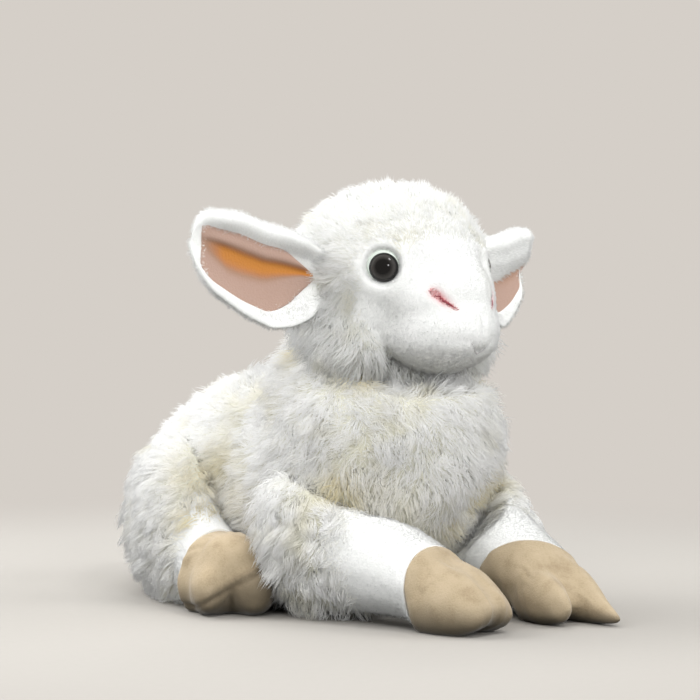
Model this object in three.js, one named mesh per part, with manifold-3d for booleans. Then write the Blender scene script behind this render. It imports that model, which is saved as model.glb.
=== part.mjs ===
// A lying plush lamb: stuffed trunk, neck, head, ears, legs and tail. Millimetres, +Z up.
// The lamb faces -Y and its right side is -X. The origin is the middle of its flat belly.
import * as THREE from "three";
import { mergeVertices } from "three/addons/utils/BufferGeometryUtils.js";
import Module from "manifold-3d";

const wasm = await Module();
wasm.setup();

// Cloth, seams and running gaps
const skinWall = 3; // backing cloth and the dense foot of the pile
const seamGap = 0.3; // between two pieces that are sewn or seated together
const jointGap = 0.8; // between a limb and what it moves against
const flatCut = 0.5; // how deep the floor flattens a stuffed form
const overrun = 2; // how far a cutter runs past what it cuts
const weld = 1e-4; // points closer than this are one

// Trunk: from the rump to the chest, the belly flat on the floor
const trunkLength = 200;
const trunkWidth = 112;
const trunkHeight = 115;
const trunkRearShare = 0.43; // of the length, behind the origin
// [along from the rump, half width, low, high]
const trunkShares = [
  [0, 0, 0.34, 0.34],
  [0.02, 0.44, 0.1, 0.56],
  [0.08, 0.7, -0.03, 0.69],
  [0.19, 0.87, -0.09, 0.83],
  [0.36, 0.98, -0.11, 0.94],
  [0.53, 1, -0.11, 0.98],
  [0.68, 0.98, -0.08, 1],
  [0.81, 0.9, 0.02, 0.95],
  [0.92, 0.71, 0.17, 0.82],
  [0.98, 0.42, 0.36, 0.7],
  [1, 0, 0.55, 0.55],
];
const bellyWidth = 64;
const bellyLength = 116;

// Chest: the full column under the head, its rows run up from its foot
const chestWidth = 114;
const chestDepth = 112;
const chestHeight = 119;
const chestFoot = 12; // its lowest point over the floor
// [up from the foot, half width, front, back]
const chestShares = [
  [0, 0, 0, 0],
  [0.07, 0.6, -0.24, 0.24],
  [0.24, 0.88, -0.41, 0.42],
  [0.45, 1, -0.49, 0.5],
  [0.68, 0.97, -0.47, 0.47],
  [0.86, 0.86, -0.41, 0.43],
  [0.96, 0.62, -0.3, 0.34],
  [1, 0, 0, 0],
];

// Neck: a stuffed ball that both the chest and the head are cupped on
const neckRadius = 31;
const neckForwardShare = 0.345; // of the trunk's length, ahead of the origin
const neckHeightShare = 1.0; // of the trunk's height
const headRoom = 5; // between the chest and the head, for its nod
const headTurn = 20; // degrees each way
const headNod = 6; // degrees each way

// Head: a rounded skull, broad cheeks and a low muzzle
const headWidth = 88;
const headLength = 92;
const headHeight = 79;
const headRise = 38; // of the skull's centre over the neck's
const headForward = 5;
const muzzleWidth = 62;
const muzzleLength = 62;
const muzzleHeight = 44;
const muzzleForwardShare = 0.355; // of the head's length
const muzzleDropShare = 0.31; // of the head's height
const cheekWidth = 78;
const cheekLength = 56;
const cheekHeight = 44;
const cheekForwardShare = 0.29; // of the head's length
const cheekDropShare = 0.12; // of the head's height
const facePitch = 25; // degrees below level that the short-plush face looks
const faceHeightShare = 0.93; // of the head's height
const faceStartShare = 0.24; // of the head's length, ahead of the skull's centre
const mouthDropShare = 0.375; // of the head's height, below the skull's centre
const mouthWidth = 15;
const mouthThread = 1.6;
const nostrilLength = 18;
const nostrilWidth = 4.4;
const nostrilDepth = 2;
const nostrilSpacing = 27;
const nostrilRiseShare = 0.02; // of the cheeks' height
const nostrilSlant = 30; // degrees

// Eyes: a domed plastic eye with a stem, a pale backing disc and a lock washer
const eyeDiameter = 14.5;
const eyeDome = 4.5;
const eyeTurn = 48; // degrees from straight ahead
const eyeRise = 4; // degrees above level
const eyeDisc = 1;
const eyeDiscRim = 0.7;
const eyeSeat = 2.4; // how deep the stem pulls the disc into the face
const stemDiameter = 4;
const stemLength = 12;
const washerDiameter = 13;
const washerThick = 1.4;

// Ears: cupped leaves, pinched where they are sewn to the head
const earLength = 62;
const earHeight = 52;
const earCup = 14; // how far the rims curl forward of the middle
const earRise = 17; // of the tip over the root
const earThick = 3.4;
const liningThick = 1.8;
const earSwing = 18; // degrees each way
// [along from the root, half height, rise]
const earShares = [
  [0, 0.84, 0],
  [0.3, 1, 0],
  [0.6, 0.96, 0.27],
  [0.82, 0.74, 0.68],
  [0.94, 0.46, 0.9],
  [1, 0.14, 1],
];
const earTipCupShare = 0.4; // of the cup at the root

// How each ear stands: its side, and the degrees that it points back and droops
const ears = {
  right: { side: -1, sweep: 7, droop: 0 },
  left: { side: 1, sweep: 11, droop: 7 },
};
const liningStartShare = 0.06;
const liningEndShare = 0.9;
// [along the lining, half height as a share of the ear's there]
const liningShares = [
  [0, 0.08],
  [0.25, 0.52],
  [0.5, 0.74],
  [0.8, 0.84],
  [1, 0.8],
];

// Forelegs, stretched forward on the floor: fur, a short-plush sleeve and a cloven hoof
const foreLength = 130;
const foreWidth = 52;
const foreHeight = 74;
const foreSpacing = 89; // between the two shoulders
const foreBackShare = 0.24; // of the trunk's length, ahead of the origin, where the leg's form starts
// [along, half width, low, high]
const foreShares = [
  [0, 0, 0.58, 0.58],
  [0.05, 0.6, 0.34, 0.86],
  [0.14, 0.92, 0.1, 1],
  [0.235, 1, 0.02, 0.91],
  [0.37, 0.9, 0.05, 0.74],
  [0.52, 0.82, 0.06, 0.63],
  [0.67, 0.74, 0.05, 0.51],
  [0.78, 0.64, 0.06, 0.42],
  [0.85, 0, 0.22, 0.22],
];
const foreSleeveShare = 0.355; // where the fur ends
const foreHoofShare = 0.685; // where the hoof begins
const forePivotShares = [0.08, 0.55]; // along, and up the leg's height
const foreLift = 14; // degrees

// Hind legs, folded forward beside the belly: thigh, a narrow cuff and a cloven hoof
const hindLength = 124;
const hindWidth = 46;
const hindHeight = 78;
const hindSpacing = 69;
const hindBackShare = -0.276; // of the trunk's length, ahead of the origin
const hindShares = [
  [0, 0, 0.5, 0.5],
  [0.05, 0.5, 0.24, 0.78],
  [0.17, 0.84, 0.06, 0.94],
  [0.33, 1, 0, 1],
  [0.48, 0.96, 0, 0.88],
  [0.6, 0.84, 0, 0.64],
  [0.7, 0.74, 0, 0.47],
  [0.8, 0.68, 0.02, 0.42],
  [0.86, 0, 0.2, 0.2],
];
const hindCuffShare = 0.59;
const hindHoofShare = 0.7;
const hindPivotShares = [0.33, 0.5];
const hindLift = 12;
const hindHoofTurn = 20; // degrees that the hoof turns out from its leg

// Hooves: two toes on a rounded base
const toeWidth = 21;
const toeLength = 48;
const toeHeight = 29;
const toeSpread = 18; // between the middles of the two toes
const toeBackShare = 0.3; // of a toe's length, from the hoof's seam to the toe's middle
const toeDroopShare = 0.42; // of a toe's height, its middle over the floor
const toeSplay = 5; // degrees that each toe turns out

// How each leg lies: its side, the degrees that its toes turn in, and how far ahead it reaches
const legs = {
  right: { side: -1, foreToeIn: 6, hindToeIn: -20, foreAhead: 0 },
  left: { side: 1, foreToeIn: 12, hindToeIn: -20, foreAhead: 9 },
};

// Tail: a short flat tail that hangs on the rump
const tailLength = 46;
const tailWidth = 24;
const tailThick = 13;
const tailRootShare = 0.68; // of the trunk's height
const tailSeat = 5; // ahead of the rump's rearmost point
const tailTilt = 20; // degrees that its tip stands out from the vertical
const tailLift = 35; // degrees

// Facets
const trunkSteps = 12;
const trunkSides = 18;
const chestSteps = 8;
const legSteps = 9;
const legSides = 12;
const headSides = 18;
const neckSides = 20;
const toeSides = 10;
const smallSides = 10;
const earSteps = 8;
const earAcross = 4;

// Colours
const furWhite = 0xf4f3ec;
const plushWhite = 0xf7f7f4;
const fillWhite = 0xe6e6e0;
const hoofBeige = 0xcdb695;
const liningPeach = 0xe3b49c;
const eyeBlack = 0x14110f;
const eyePale = 0xdfeee2;
const nosePink = 0xd9707c;
const washerClear = 0xd8dadb;

const cloth = (color, roughness = 0.95) => new THREE.MeshStandardMaterial({ color, roughness, metalness: 0 });
const materials = {
  fur: cloth(furWhite),
  plush: cloth(plushWhite),
  filling: cloth(fillWhite, 1),
  hoof: cloth(hoofBeige),
  lining: cloth(liningPeach),
  eye: cloth(eyeBlack, 0.08),
  backing: cloth(eyePale, 0.2),
  thread: cloth(nosePink, 0.7),
  washer: cloth(washerClear, 0.4),
};

const radians = THREE.MathUtils.degToRad;
const lamb = new THREE.Group();

// Joins and cuts

function solidOf(geometry) {
  const bare = geometry.clone();
  bare.deleteAttribute("normal");
  bare.deleteAttribute("uv");
  const merged = mergeVertices(bare, weld);
  const vertProperties = merged.attributes.position.array;
  const triVerts = new Uint32Array(merged.index.array);
  return new wasm.Manifold(new wasm.Mesh({ numProp: 3, vertProperties, triVerts }));
}

function geometryOf(solid) {
  const mesh = solid.getMesh();
  const geometry = new THREE.BufferGeometry();
  geometry.setAttribute("position", new THREE.BufferAttribute(new Float32Array(mesh.vertProperties), mesh.numProp));
  geometry.setIndex(new THREE.BufferAttribute(new Uint32Array(mesh.triVerts), 1));
  const flat = geometry.toNonIndexed();
  flat.computeVertexNormals();
  return flat;
}

const cut = (solid, ...cutters) => cutters.reduce((rest, cutter) => rest.subtract(cutter), solid);
const join = (solid, ...others) => others.reduce((whole, other) => whole.add(other), solid);

function addPiece(name, solid, material) {
  const mesh = new THREE.Mesh(geometryOf(solid), material.clone());
  mesh.name = name;
  lamb.add(mesh);
}

// Forms

// A table of rows with its first column times the length and the others times their own sizes.
const sized = (rows, ...sizes) => rows.map((row) => row.map((share, column) => share * sizes[column]));

// A closed form that swells and tapers along -Y from its first row to its last.
// Rows are [along, half width, low, high], smoothed, and shrink to a point at both ends.
function stuffed(rows, steps, sides) {
  const top = new THREE.CatmullRomCurve3(rows.map(([along, wide, , high]) => new THREE.Vector3(along, wide, high)));
  const low = new THREE.CatmullRomCurve3(rows.map(([along, wide, bottom]) => new THREE.Vector3(along, wide, bottom)));
  const points = [];
  const faces = [];
  const first = top.getPoint(0);
  points.push(0, -first.x, first.z);
  for (let step = 1; step < steps; step += 1) {
    const above = top.getPoint(step / steps);
    const below = low.getPoint(step / steps);
    const middle = (above.z + below.z) / 2;
    const half = (above.z - below.z) / 2;
    for (let side = 0; side < sides; side += 1) {
      const turn = (side / sides) * Math.PI * 2;
      points.push(above.y * Math.cos(turn), -above.x, middle + half * Math.sin(turn));
    }
  }
  const last = top.getPoint(1);
  points.push(0, -last.x, last.z);
  const ring = (step, side) => 1 + (step - 1) * sides + (side % sides);
  const tip = points.length / 3 - 1;
  for (let side = 0; side < sides; side += 1) {
    faces.push(0, ring(1, side + 1), ring(1, side));
    faces.push(tip, ring(steps - 1, side), ring(steps - 1, side + 1));
    for (let step = 1; step < steps - 1; step += 1) {
      faces.push(ring(step, side), ring(step, side + 1), ring(step + 1, side));
      faces.push(ring(step, side + 1), ring(step + 1, side + 1), ring(step + 1, side));
    }
  }
  const geometry = new THREE.BufferGeometry();
  geometry.setAttribute("position", new THREE.Float32BufferAttribute(points, 3));
  geometry.setIndex(faces);
  return geometry;
}

function ellipsoid(width, length, height, sides) {
  return new THREE.SphereGeometry(1, sides, Math.round(sides / 2)).scale(width / 2, length / 2, height / 2);
}

// The same form with every side moved in by the inset, or out where that is negative.
function inset(geometry, depth) {
  geometry.computeBoundingBox();
  const centre = geometry.boundingBox.getCenter(new THREE.Vector3());
  const size = geometry.boundingBox.getSize(new THREE.Vector3());
  const share = (length) => (length - 2 * depth) / length;
  return geometry
    .clone()
    .translate(-centre.x, -centre.y, -centre.z)
    .scale(share(size.x), share(size.y), share(size.z))
    .translate(centre.x, centre.y, centre.z);
}

// A box between two corners.
function block(low, high) {
  const size = high.clone().sub(low);
  const centre = high.clone().add(low).multiplyScalar(0.5);
  return new THREE.BoxGeometry(size.x, size.y, size.z).translate(centre.x, centre.y, centre.z);
}

// A round bar from a point along a direction.
function bar(from, direction, radius, length, sides) {
  const turn = new THREE.Quaternion().setFromUnitVectors(new THREE.Vector3(0, 1, 0), direction);
  return new THREE.CylinderGeometry(radius, radius, length, sides)
    .translate(0, length / 2, 0)
    .applyQuaternion(turn)
    .translate(from.x, from.y, from.z);
}

// The same form turned about an axis through a pivot.
function turned(geometry, pivot, axis, degrees) {
  const turn = new THREE.Quaternion().setFromAxisAngle(axis, radians(degrees));
  return geometry
    .clone()
    .translate(-pivot.x, -pivot.y, -pivot.z)
    .applyQuaternion(turn)
    .translate(pivot.x, pivot.y, pivot.z);
}

// A limb with room cut in it for what it moves against, at every angle that the limb reaches.
function clearOf(limb, larger, hinge) {
  const rooms = larger.flatMap((form) => {
    const grown = inset(form, -jointGap);
    return hinge.angles.map((angle) => solidOf(turned(grown, hinge.pivot, hinge.axis, -angle)));
  });
  return cut(limb, ...rooms);
}

const reach = trunkLength + foreLength; // longer than anything a cutter has to pass
const underFloor = solidOf(block(new THREE.Vector3(-reach, -reach, -reach), new THREE.Vector3(reach, reach, 0)));
const upwards = new THREE.Vector3(0, 0, 1);
const forwards = new THREE.Vector3(0, -1, 0);
const lifting = new THREE.Vector3(-1, 0, 0);

// Trunk and neck

const trunkForm = stuffed(
  sized(trunkShares, trunkLength, trunkWidth / 2, trunkHeight, trunkHeight),
  trunkSteps,
  trunkSides,
).translate(0, trunkLength * trunkRearShare, 0);
const neckCentre = new THREE.Vector3(0, -trunkLength * neckForwardShare, trunkHeight * neckHeightShare);
const chestForm = stuffed(
  sized(chestShares, chestHeight, chestWidth / 2, chestDepth, chestDepth),
  chestSteps,
  trunkSides,
)
  .rotateX(-Math.PI / 2)
  .translate(0, neckCentre.y, chestFoot);

const neckBall = (growth) =>
  solidOf(inset(ellipsoid(2 * neckRadius, 2 * neckRadius, 2 * neckRadius, neckSides).translate(...neckCentre), -growth));
const neckSocket = neckBall(jointGap);

function bellyPlate(growth, bottom, depth) {
  const outline = new THREE.Shape().absellipse(0, 0, bellyWidth / 2 + growth, bellyLength / 2 + growth, 0, Math.PI * 2);
  const settings = { depth, bevelEnabled: false, curveSegments: smallSides };
  return solidOf(new THREE.ExtrudeGeometry(outline, settings).translate(0, 0, bottom));
}

const bodySolid = (depth) => join(solidOf(inset(trunkForm, depth)), solidOf(inset(chestForm, depth)));

// The room that the head needs over the chest, also when it turns and nods.
function headSpace(depth) {
  const nodding = [muzzleForm, cheekForm].map((form) =>
    turned(inset(form, -jointGap - depth), neckCentre, lifting, -headNod),
  );
  const turning = nodding.flatMap((form) =>
    [-headTurn, 0, headTurn].map((degrees) => turned(form, neckCentre, upwards, degrees)),
  );
  return [inset(skullForm, -headRoom - depth), ...turning].map(solidOf);
}

function makeTrunk() {
  const outside = cut(bodySolid(0), underFloor);
  const aboveFloor = solidOf(
    block(new THREE.Vector3(-reach, -reach, skinWall), new THREE.Vector3(reach, reach, reach)),
  );
  const hollow = cut(bodySolid(skinWall), ...headSpace(skinWall)).intersect(aboveFloor);
  const opening = bellyPlate(seamGap, -overrun, skinWall + 2 * overrun);
  addPiece("body_cover", cut(outside, hollow, opening, neckSocket, ...headSpace(0)), materials.fur);
  addPiece("belly_panel", bellyPlate(0, 0, skinWall - seamGap), materials.fur);

  const aboveSkin = block(
    new THREE.Vector3(-reach, -reach, skinWall + seamGap),
    new THREE.Vector3(reach, reach, reach),
  );
  const stuffing = bodySolid(skinWall + seamGap).intersect(solidOf(aboveSkin));
  addPiece("body_filling", cut(stuffing, neckSocket, ...headSpace(skinWall + seamGap)), materials.filling);
}

// Head

const skullCentre = neckCentre.clone().add(new THREE.Vector3(0, -headForward, headRise));
const muzzleCentre = skullCentre
  .clone()
  .add(new THREE.Vector3(0, -headLength * muzzleForwardShare, -headHeight * muzzleDropShare));
const cheekCentre = skullCentre
  .clone()
  .add(new THREE.Vector3(0, -headLength * cheekForwardShare, -headHeight * cheekDropShare));

const skullForm = ellipsoid(headWidth, headLength, headHeight, headSides).translate(...skullCentre);
const muzzleForm = ellipsoid(muzzleWidth, muzzleLength, muzzleHeight, headSides).translate(...muzzleCentre);
const cheekForm = ellipsoid(cheekWidth, cheekLength, cheekHeight, headSides).translate(...cheekCentre);

const headSolid = (depth) =>
  join(...[skullForm, muzzleForm, cheekForm].map((form) => solidOf(inset(form, depth))));

// The region of the short-plush face: a bar that looks forward and down from inside the skull.
function faceRegion(growth) {
  const direction = forwards.clone().applyAxisAngle(lifting, -radians(facePitch));
  const start = skullCentre.clone().addScaledVector(direction, headLength * faceStartShare - growth);
  const across = headWidth / 2 + growth;
  const tall = (headHeight * faceHeightShare) / 2 + growth;
  const turn = new THREE.Quaternion().setFromUnitVectors(upwards, direction);
  return solidOf(
    new THREE.CylinderGeometry(1, 1, 1, headSides)
      .rotateX(Math.PI / 2)
      .translate(0, 0, 1 / 2)
      .scale(across, tall, headLength)
      .applyQuaternion(turn)
      .translate(...start),
  );
}

// A point on the skull and the way it faces, by degrees from straight ahead and above level.
function onSkull(turnDegrees, riseDegrees) {
  const turn = radians(turnDegrees);
  const rise = radians(riseDegrees);
  const unit = new THREE.Vector3(
    Math.sin(turn) * Math.cos(rise),
    -Math.cos(turn) * Math.cos(rise),
    Math.sin(rise),
  );
  const radii = new THREE.Vector3(headWidth / 2, headLength / 2, headHeight / 2);
  const normal = unit.clone().divide(radii).normalize();
  return { point: unit.multiply(radii).add(skullCentre), normal };
}

function eyeParts(side) {
  const { point, normal } = onSkull(side * eyeTurn, eyeRise);
  const radius = eyeDiameter / 2;
  const seat = point.clone().addScaledVector(normal, -eyeSeat);
  const front = seat.clone().addScaledVector(normal, eyeDisc + seamGap);
  const stemHole = stemDiameter / 2 + seamGap;
  const under = point.clone().addScaledVector(normal, -skinWall - seamGap - washerThick);
  const discBar = bar(seat.clone().addScaledVector(normal, seamGap), normal, radius + eyeDiscRim, eyeDisc - seamGap, smallSides);
  const hole = bar(point.clone().addScaledVector(normal, -stemLength), normal, stemHole, 2 * stemLength, smallSides);
  const washerBar = bar(under, normal, washerDiameter / 2, washerThick, smallSides);
  const washerRoom = bar(under, normal, washerDiameter / 2 + seamGap, washerThick + seamGap, smallSides);
  const turn = new THREE.Quaternion().setFromUnitVectors(new THREE.Vector3(0, 1, 0), normal);
  const profile = [new THREE.Vector2(0, -stemLength + eyeDisc), new THREE.Vector2(stemDiameter / 2, -stemLength + eyeDisc)];
  profile.push(new THREE.Vector2(stemDiameter / 2, 0));
  const domeSteps = smallSides / 4;
  for (let step = 0; step < domeSteps; step += 1) {
    const angle = (step / domeSteps) * (Math.PI / 2);
    profile.push(new THREE.Vector2(radius * Math.cos(angle), eyeDome * Math.sin(angle)));
  }
  profile.push(new THREE.Vector2(0, eyeDome));
  const eye = new THREE.LatheGeometry(profile, smallSides).applyQuaternion(turn).translate(...front);
  const room = bar(
    point.clone().addScaledVector(normal, -stemLength - seamGap),
    normal,
    washerDiameter / 2 + seamGap,
    stemLength,
    smallSides,
  );
  const seatRoom = solidOf(bar(seat, normal, radius + eyeDiscRim + seamGap, 2 * stemLength, smallSides));
  return {
    eye: solidOf(eye),
    disc: cut(solidOf(discBar), solidOf(hole)),
    washer: cut(solidOf(washerBar), solidOf(hole)),
    faceCuts: [solidOf(hole), solidOf(washerRoom), seatRoom],
    fillingCuts: [solidOf(room), seatRoom],
  };
}

// An embroidered patch: a slim oval laid in the cheeks' surface and slanted down towards the middle.
function nostril(side, growth) {
  const unitX = (side * nostrilSpacing) / cheekWidth;
  const unitZ = 2 * nostrilRiseShare;
  const unitY = -Math.sqrt(1 - unitX * unitX - unitZ * unitZ);
  const unit = new THREE.Vector3(unitX, unitY, unitZ);
  const radii = new THREE.Vector3(cheekWidth / 2, cheekLength / 2, cheekHeight / 2);
  const normal = unit.clone().divide(radii).normalize();
  const point = unit.multiply(radii).add(cheekCentre);
  const turn = new THREE.Quaternion().setFromUnitVectors(forwards, normal);
  return ellipsoid(nostrilLength + 2 * growth, nostrilDepth + 2 * growth, nostrilWidth + 2 * growth, smallSides)
    .rotateY(-side * radians(nostrilSlant))
    .applyQuaternion(turn)
    .translate(...point);
}

// The stitched mouth: a short rounded thread across the seam between face and chin.
function mouth(growth) {
  const front = muzzleCentre.clone().setZ(skullCentre.z - headHeight * mouthDropShare);
  const drop = (front.z - muzzleCentre.z) / (muzzleHeight / 2);
  front.y -= (muzzleLength / 2) * Math.sqrt(1 - drop * drop);
  return ellipsoid(mouthWidth + 2 * growth, 2 * (mouthThread + growth), mouthThread + 2 * growth, smallSides).translate(
    ...front,
  );
}

function makeHead() {
  const outside = headSolid(0);
  const hollow = headSolid(skinWall);
  const shell = cut(outside, hollow, neckSocket);
  const eyes = { right: eyeParts(-1), left: eyeParts(1) };
  const eyeCuts = [...eyes.right.faceCuts, ...eyes.left.faceCuts];
  const patches = { right: -1, left: 1 };
  const patchCuts = Object.values(patches).map((side) => solidOf(nostril(side, seamGap)));
  const trims = [...eyeCuts, ...patchCuts, solidOf(mouth(seamGap))];
  const mouthHeight = skullCentre.z - headHeight * mouthDropShare;
  const below = (height) =>
    solidOf(block(new THREE.Vector3(-reach, -reach, -reach), new THREE.Vector3(reach, reach, height)));

  addPiece("head_cover", cut(shell, faceRegion(seamGap), ...trims), materials.fur);
  const face = cut(shell.intersect(faceRegion(0)), ...trims);
  addPiece("face_panel", cut(face, below(mouthHeight + seamGap / 2)), materials.plush);
  addPiece("chin_panel", face.intersect(below(mouthHeight - seamGap / 2)), materials.plush);
  const stuffingCuts = [neckSocket, ...eyes.right.fillingCuts, ...eyes.left.fillingCuts];
  const stuffing = cut(headSolid(skinWall + seamGap), ...stuffingCuts);
  addPiece("head_filling", stuffing, materials.filling);
  addPiece("mouth_stitch", solidOf(mouth(0)), materials.thread);
  for (const [name, side] of Object.entries(patches)) {
    addPiece(`nostril_${name}`, solidOf(nostril(side, 0)), materials.thread);
    addPiece(`eye_${name}`, eyes[name].eye, materials.eye);
    addPiece(`eye_backing_${name}`, eyes[name].disc, materials.backing);
    addPiece(`eye_washer_${name}`, eyes[name].washer, materials.washer);
  }
}

// Ears

// The half height and rise at a place along the ear, smoothed.
const earCurve = new THREE.CatmullRomCurve3(earShares.map((row) => new THREE.Vector3(...row)));
const liningCurve = new THREE.SplineCurve(liningShares.map(([along, half]) => new THREE.Vector2(along, half)));

// A point of the ear's middle surface: along 0 to 1 from the root, across -1 to 1 from low to high rim.
function earPoint(root, ear, place, across, forward) {
  const half = (place.y * earHeight) / 2;
  const curl = earCup * THREE.MathUtils.lerp(1, earTipCupShare, place.x) * across * across;
  return new THREE.Vector3(ear.side * place.x * earLength, -curl - forward, earRise * place.z + half * across)
    .applyAxisAngle(forwards, -ear.side * radians(ear.droop))
    .applyAxisAngle(upwards, ear.side * radians(ear.sweep))
    .add(root);
}

// A closed curved slab between two distances forward of the ear's middle surface.
function earSlab(root, ear, placeAt, widthAt, back, front) {
  const points = [];
  const faces = [];
  for (let step = 0; step <= earSteps; step += 1) {
    const share = step / earSteps;
    const place = placeAt(share);
    const width = widthAt(share);
    for (let column = 0; column <= earAcross; column += 1) {
      const across = width * ((2 * column) / earAcross - 1);
      points.push(...earPoint(root, ear, place, across, back), ...earPoint(root, ear, place, across, front));
    }
  }
  const columns = earAcross + 1;
  const at = (step, column, layer) => 2 * (step * columns + column) + layer;
  const quad = (a, b, c, d) => (ear.side > 0 ? faces.push(a, b, c, a, c, d) : faces.push(a, c, b, a, d, c));
  for (let step = 0; step < earSteps; step += 1) {
    for (let column = 0; column < earAcross; column += 1) {
      quad(at(step, column, 0), at(step, column + 1, 0), at(step + 1, column + 1, 0), at(step + 1, column, 0));
      quad(at(step, column, 1), at(step + 1, column, 1), at(step + 1, column + 1, 1), at(step, column + 1, 1));
    }
    quad(at(step, 0, 0), at(step + 1, 0, 0), at(step + 1, 0, 1), at(step, 0, 1));
    quad(at(step, earAcross, 0), at(step, earAcross, 1), at(step + 1, earAcross, 1), at(step + 1, earAcross, 0));
  }
  for (let column = 0; column < earAcross; column += 1) {
    quad(at(0, column, 0), at(0, column, 1), at(0, column + 1, 1), at(0, column + 1, 0));
    quad(at(earSteps, column, 0), at(earSteps, column + 1, 0), at(earSteps, column + 1, 1), at(earSteps, column, 1));
  }
  const geometry = new THREE.BufferGeometry();
  geometry.setAttribute("position", new THREE.Float32BufferAttribute(points, 3));
  geometry.setIndex(faces);
  return solidOf(geometry);
}

function makeEar(name, ear) {
  const root = skullCentre.clone().add(new THREE.Vector3((ear.side * headWidth) / 2, 0, 0));
  const hinge = { pivot: root, axis: upwards, angles: [-earSwing, -earSwing / 2, 0, earSwing / 2, earSwing] };
  const wholeEar = (back, front) =>
    earSlab(root, ear, (share) => earCurve.getPoint(share), () => 1, back, front);
  addPiece(`ear_back_${name}`, clearOf(wholeEar(-earThick / 2, earThick / 2), [skullForm], hinge), materials.plush);

  const span = liningEndShare - liningStartShare;
  const placeAt = (share) => earCurve.getPoint(liningStartShare + span * share);
  const liningBack = earThick / 2 + seamGap;
  const liningFront = liningBack + liningThick;
  const outline = earSlab(root, ear, placeAt, (share) => liningCurve.getPoint(share).y, 0, liningFront + overrun);
  const lining = wholeEar(liningBack, liningFront).intersect(outline);
  addPiece(`ear_lining_${name}`, clearOf(lining, [skullForm], hinge), materials.lining);
}

// Legs

// Two toes on a rounded base, in the leg's own frame, turned about the middle of the hoof's seam.
function toes(seam, turn) {
  return [-1, 1].map((side) =>
    ellipsoid(toeWidth, toeLength, toeHeight, toeSides)
      .rotateZ(side * radians(toeSplay))
      .translate((side * toeSpread) / 2, -toeLength * toeBackShare, toeHeight * toeDroopShare)
      .rotateZ(radians(turn))
      .translate(0, -seam, 0),
  );
}

function makeLeg(spec) {
  const { rows, length, sleeve, hoof, hoofTurn, pivotShares, lift, start, side, toeIn, names } = spec;
  const [, , , height] = spec.sizes;
  const lie = (geometry) => geometry.rotateZ(-side * radians(toeIn)).translate(start.x, start.y, -flatCut);
  const form = lie(stuffed(sized(rows, ...spec.sizes), legSteps, legSides));
  const pivot = new THREE.Vector3(0, -length * pivotShares[0], height * pivotShares[1])
    .applyAxisAngle(upwards, -side * radians(toeIn))
    .add(start);
  const hinge = { pivot, axis: lifting, angles: [0, lift / 2, lift] };
  const clear = (solid) => clearOf(solid, [trunkForm, chestForm], hinge);
  const bench = (depth) =>
    solidOf(block(new THREE.Vector3(-reach, -reach, -reach), new THREE.Vector3(reach, reach, depth)));
  const part = (from, to) =>
    solidOf(lie(block(new THREE.Vector3(-reach, -to, -reach), new THREE.Vector3(reach, -from, reach))));

  const outside = cut(clear(solidOf(form)), underFloor);
  const hollow = cut(solidOf(inset(form, skinWall)), bench(skinWall));
  const skin = cut(outside, hollow);
  addPiece(names.fur, skin.intersect(part(-reach, sleeve - seamGap / 2)), materials.fur);
  addPiece(names.sleeve, skin.intersect(part(sleeve + seamGap / 2, hoof - seamGap / 2)), materials.plush);

  const pads = toes(hoof, side * hoofTurn).map((toe) => solidOf(lie(toe)));
  const cap = join(solidOf(form), ...pads).intersect(part(hoof + seamGap / 2, reach));
  addPiece(names.hoof, cut(clear(cap), hollow, underFloor), materials.hoof);

  const stuffing = cut(solidOf(inset(form, skinWall + seamGap)), bench(skinWall + seamGap));
  addPiece(names.filling, clear(stuffing), materials.filling);
}

function makeLegs() {
  for (const [name, { side, foreToeIn, hindToeIn, foreAhead }] of Object.entries(legs)) {
    makeLeg({
      rows: foreShares,
      sizes: [foreLength, foreWidth / 2, foreHeight, foreHeight],
      length: foreLength,
      sleeve: foreLength * foreSleeveShare,
      hoof: foreLength * foreHoofShare,
      hoofTurn: 0,
      pivotShares: forePivotShares,
      lift: foreLift,
      start: new THREE.Vector3((side * foreSpacing) / 2, -trunkLength * foreBackShare - foreAhead, 0),
      side,
      toeIn: foreToeIn,
      names: {
        fur: `foreleg_fur_${name}`,
        sleeve: `foreleg_sleeve_${name}`,
        hoof: `fore_hoof_${name}`,
        filling: `foreleg_filling_${name}`,
      },
    });
    makeLeg({
      rows: hindShares,
      sizes: [hindLength, hindWidth / 2, hindHeight, hindHeight],
      length: hindLength,
      sleeve: hindLength * hindCuffShare,
      hoof: hindLength * hindHoofShare,
      hoofTurn: hindHoofTurn,
      pivotShares: hindPivotShares,
      lift: hindLift,
      start: new THREE.Vector3((side * hindSpacing) / 2, -trunkLength * hindBackShare, 0),
      side,
      toeIn: hindToeIn,
      names: {
        fur: `thigh_fur_${name}`,
        sleeve: `hind_cuff_${name}`,
        hoof: `hind_hoof_${name}`,
        filling: `hind_filling_${name}`,
      },
    });
  }
}

// Tail

function makeTail() {
  const rootHeight = trunkHeight * tailRootShare;
  const root = new THREE.Vector3(0, trunkLength * trunkRearShare - tailSeat, rootHeight);
  const form = ellipsoid(tailWidth, tailThick, tailLength, toeSides)
    .translate(0, 0, -tailLength / 2)
    .rotateX(radians(tailTilt))
    .translate(...root);
  const hinge = { pivot: root, axis: new THREE.Vector3(1, 0, 0), angles: [0, tailLift / 2, tailLift] };
  addPiece("tail", clearOf(solidOf(form), [trunkForm], hinge), materials.fur);
}

makeTrunk();
addPiece("neck_filling", neckBall(0), materials.filling);
makeHead();
Object.entries(ears).forEach(([name, ear]) => makeEar(name, ear));
makeLegs();
makeTail();

export default lamb;
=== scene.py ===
"""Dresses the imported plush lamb: stuffed skins, long pile in locks, short plush, hooves, ears and eyes."""

import logging
import math
from abc import ABC, abstractmethod
from collections.abc import Callable, Sequence
from dataclasses import dataclass, field
from enum import Enum, IntEnum

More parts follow.
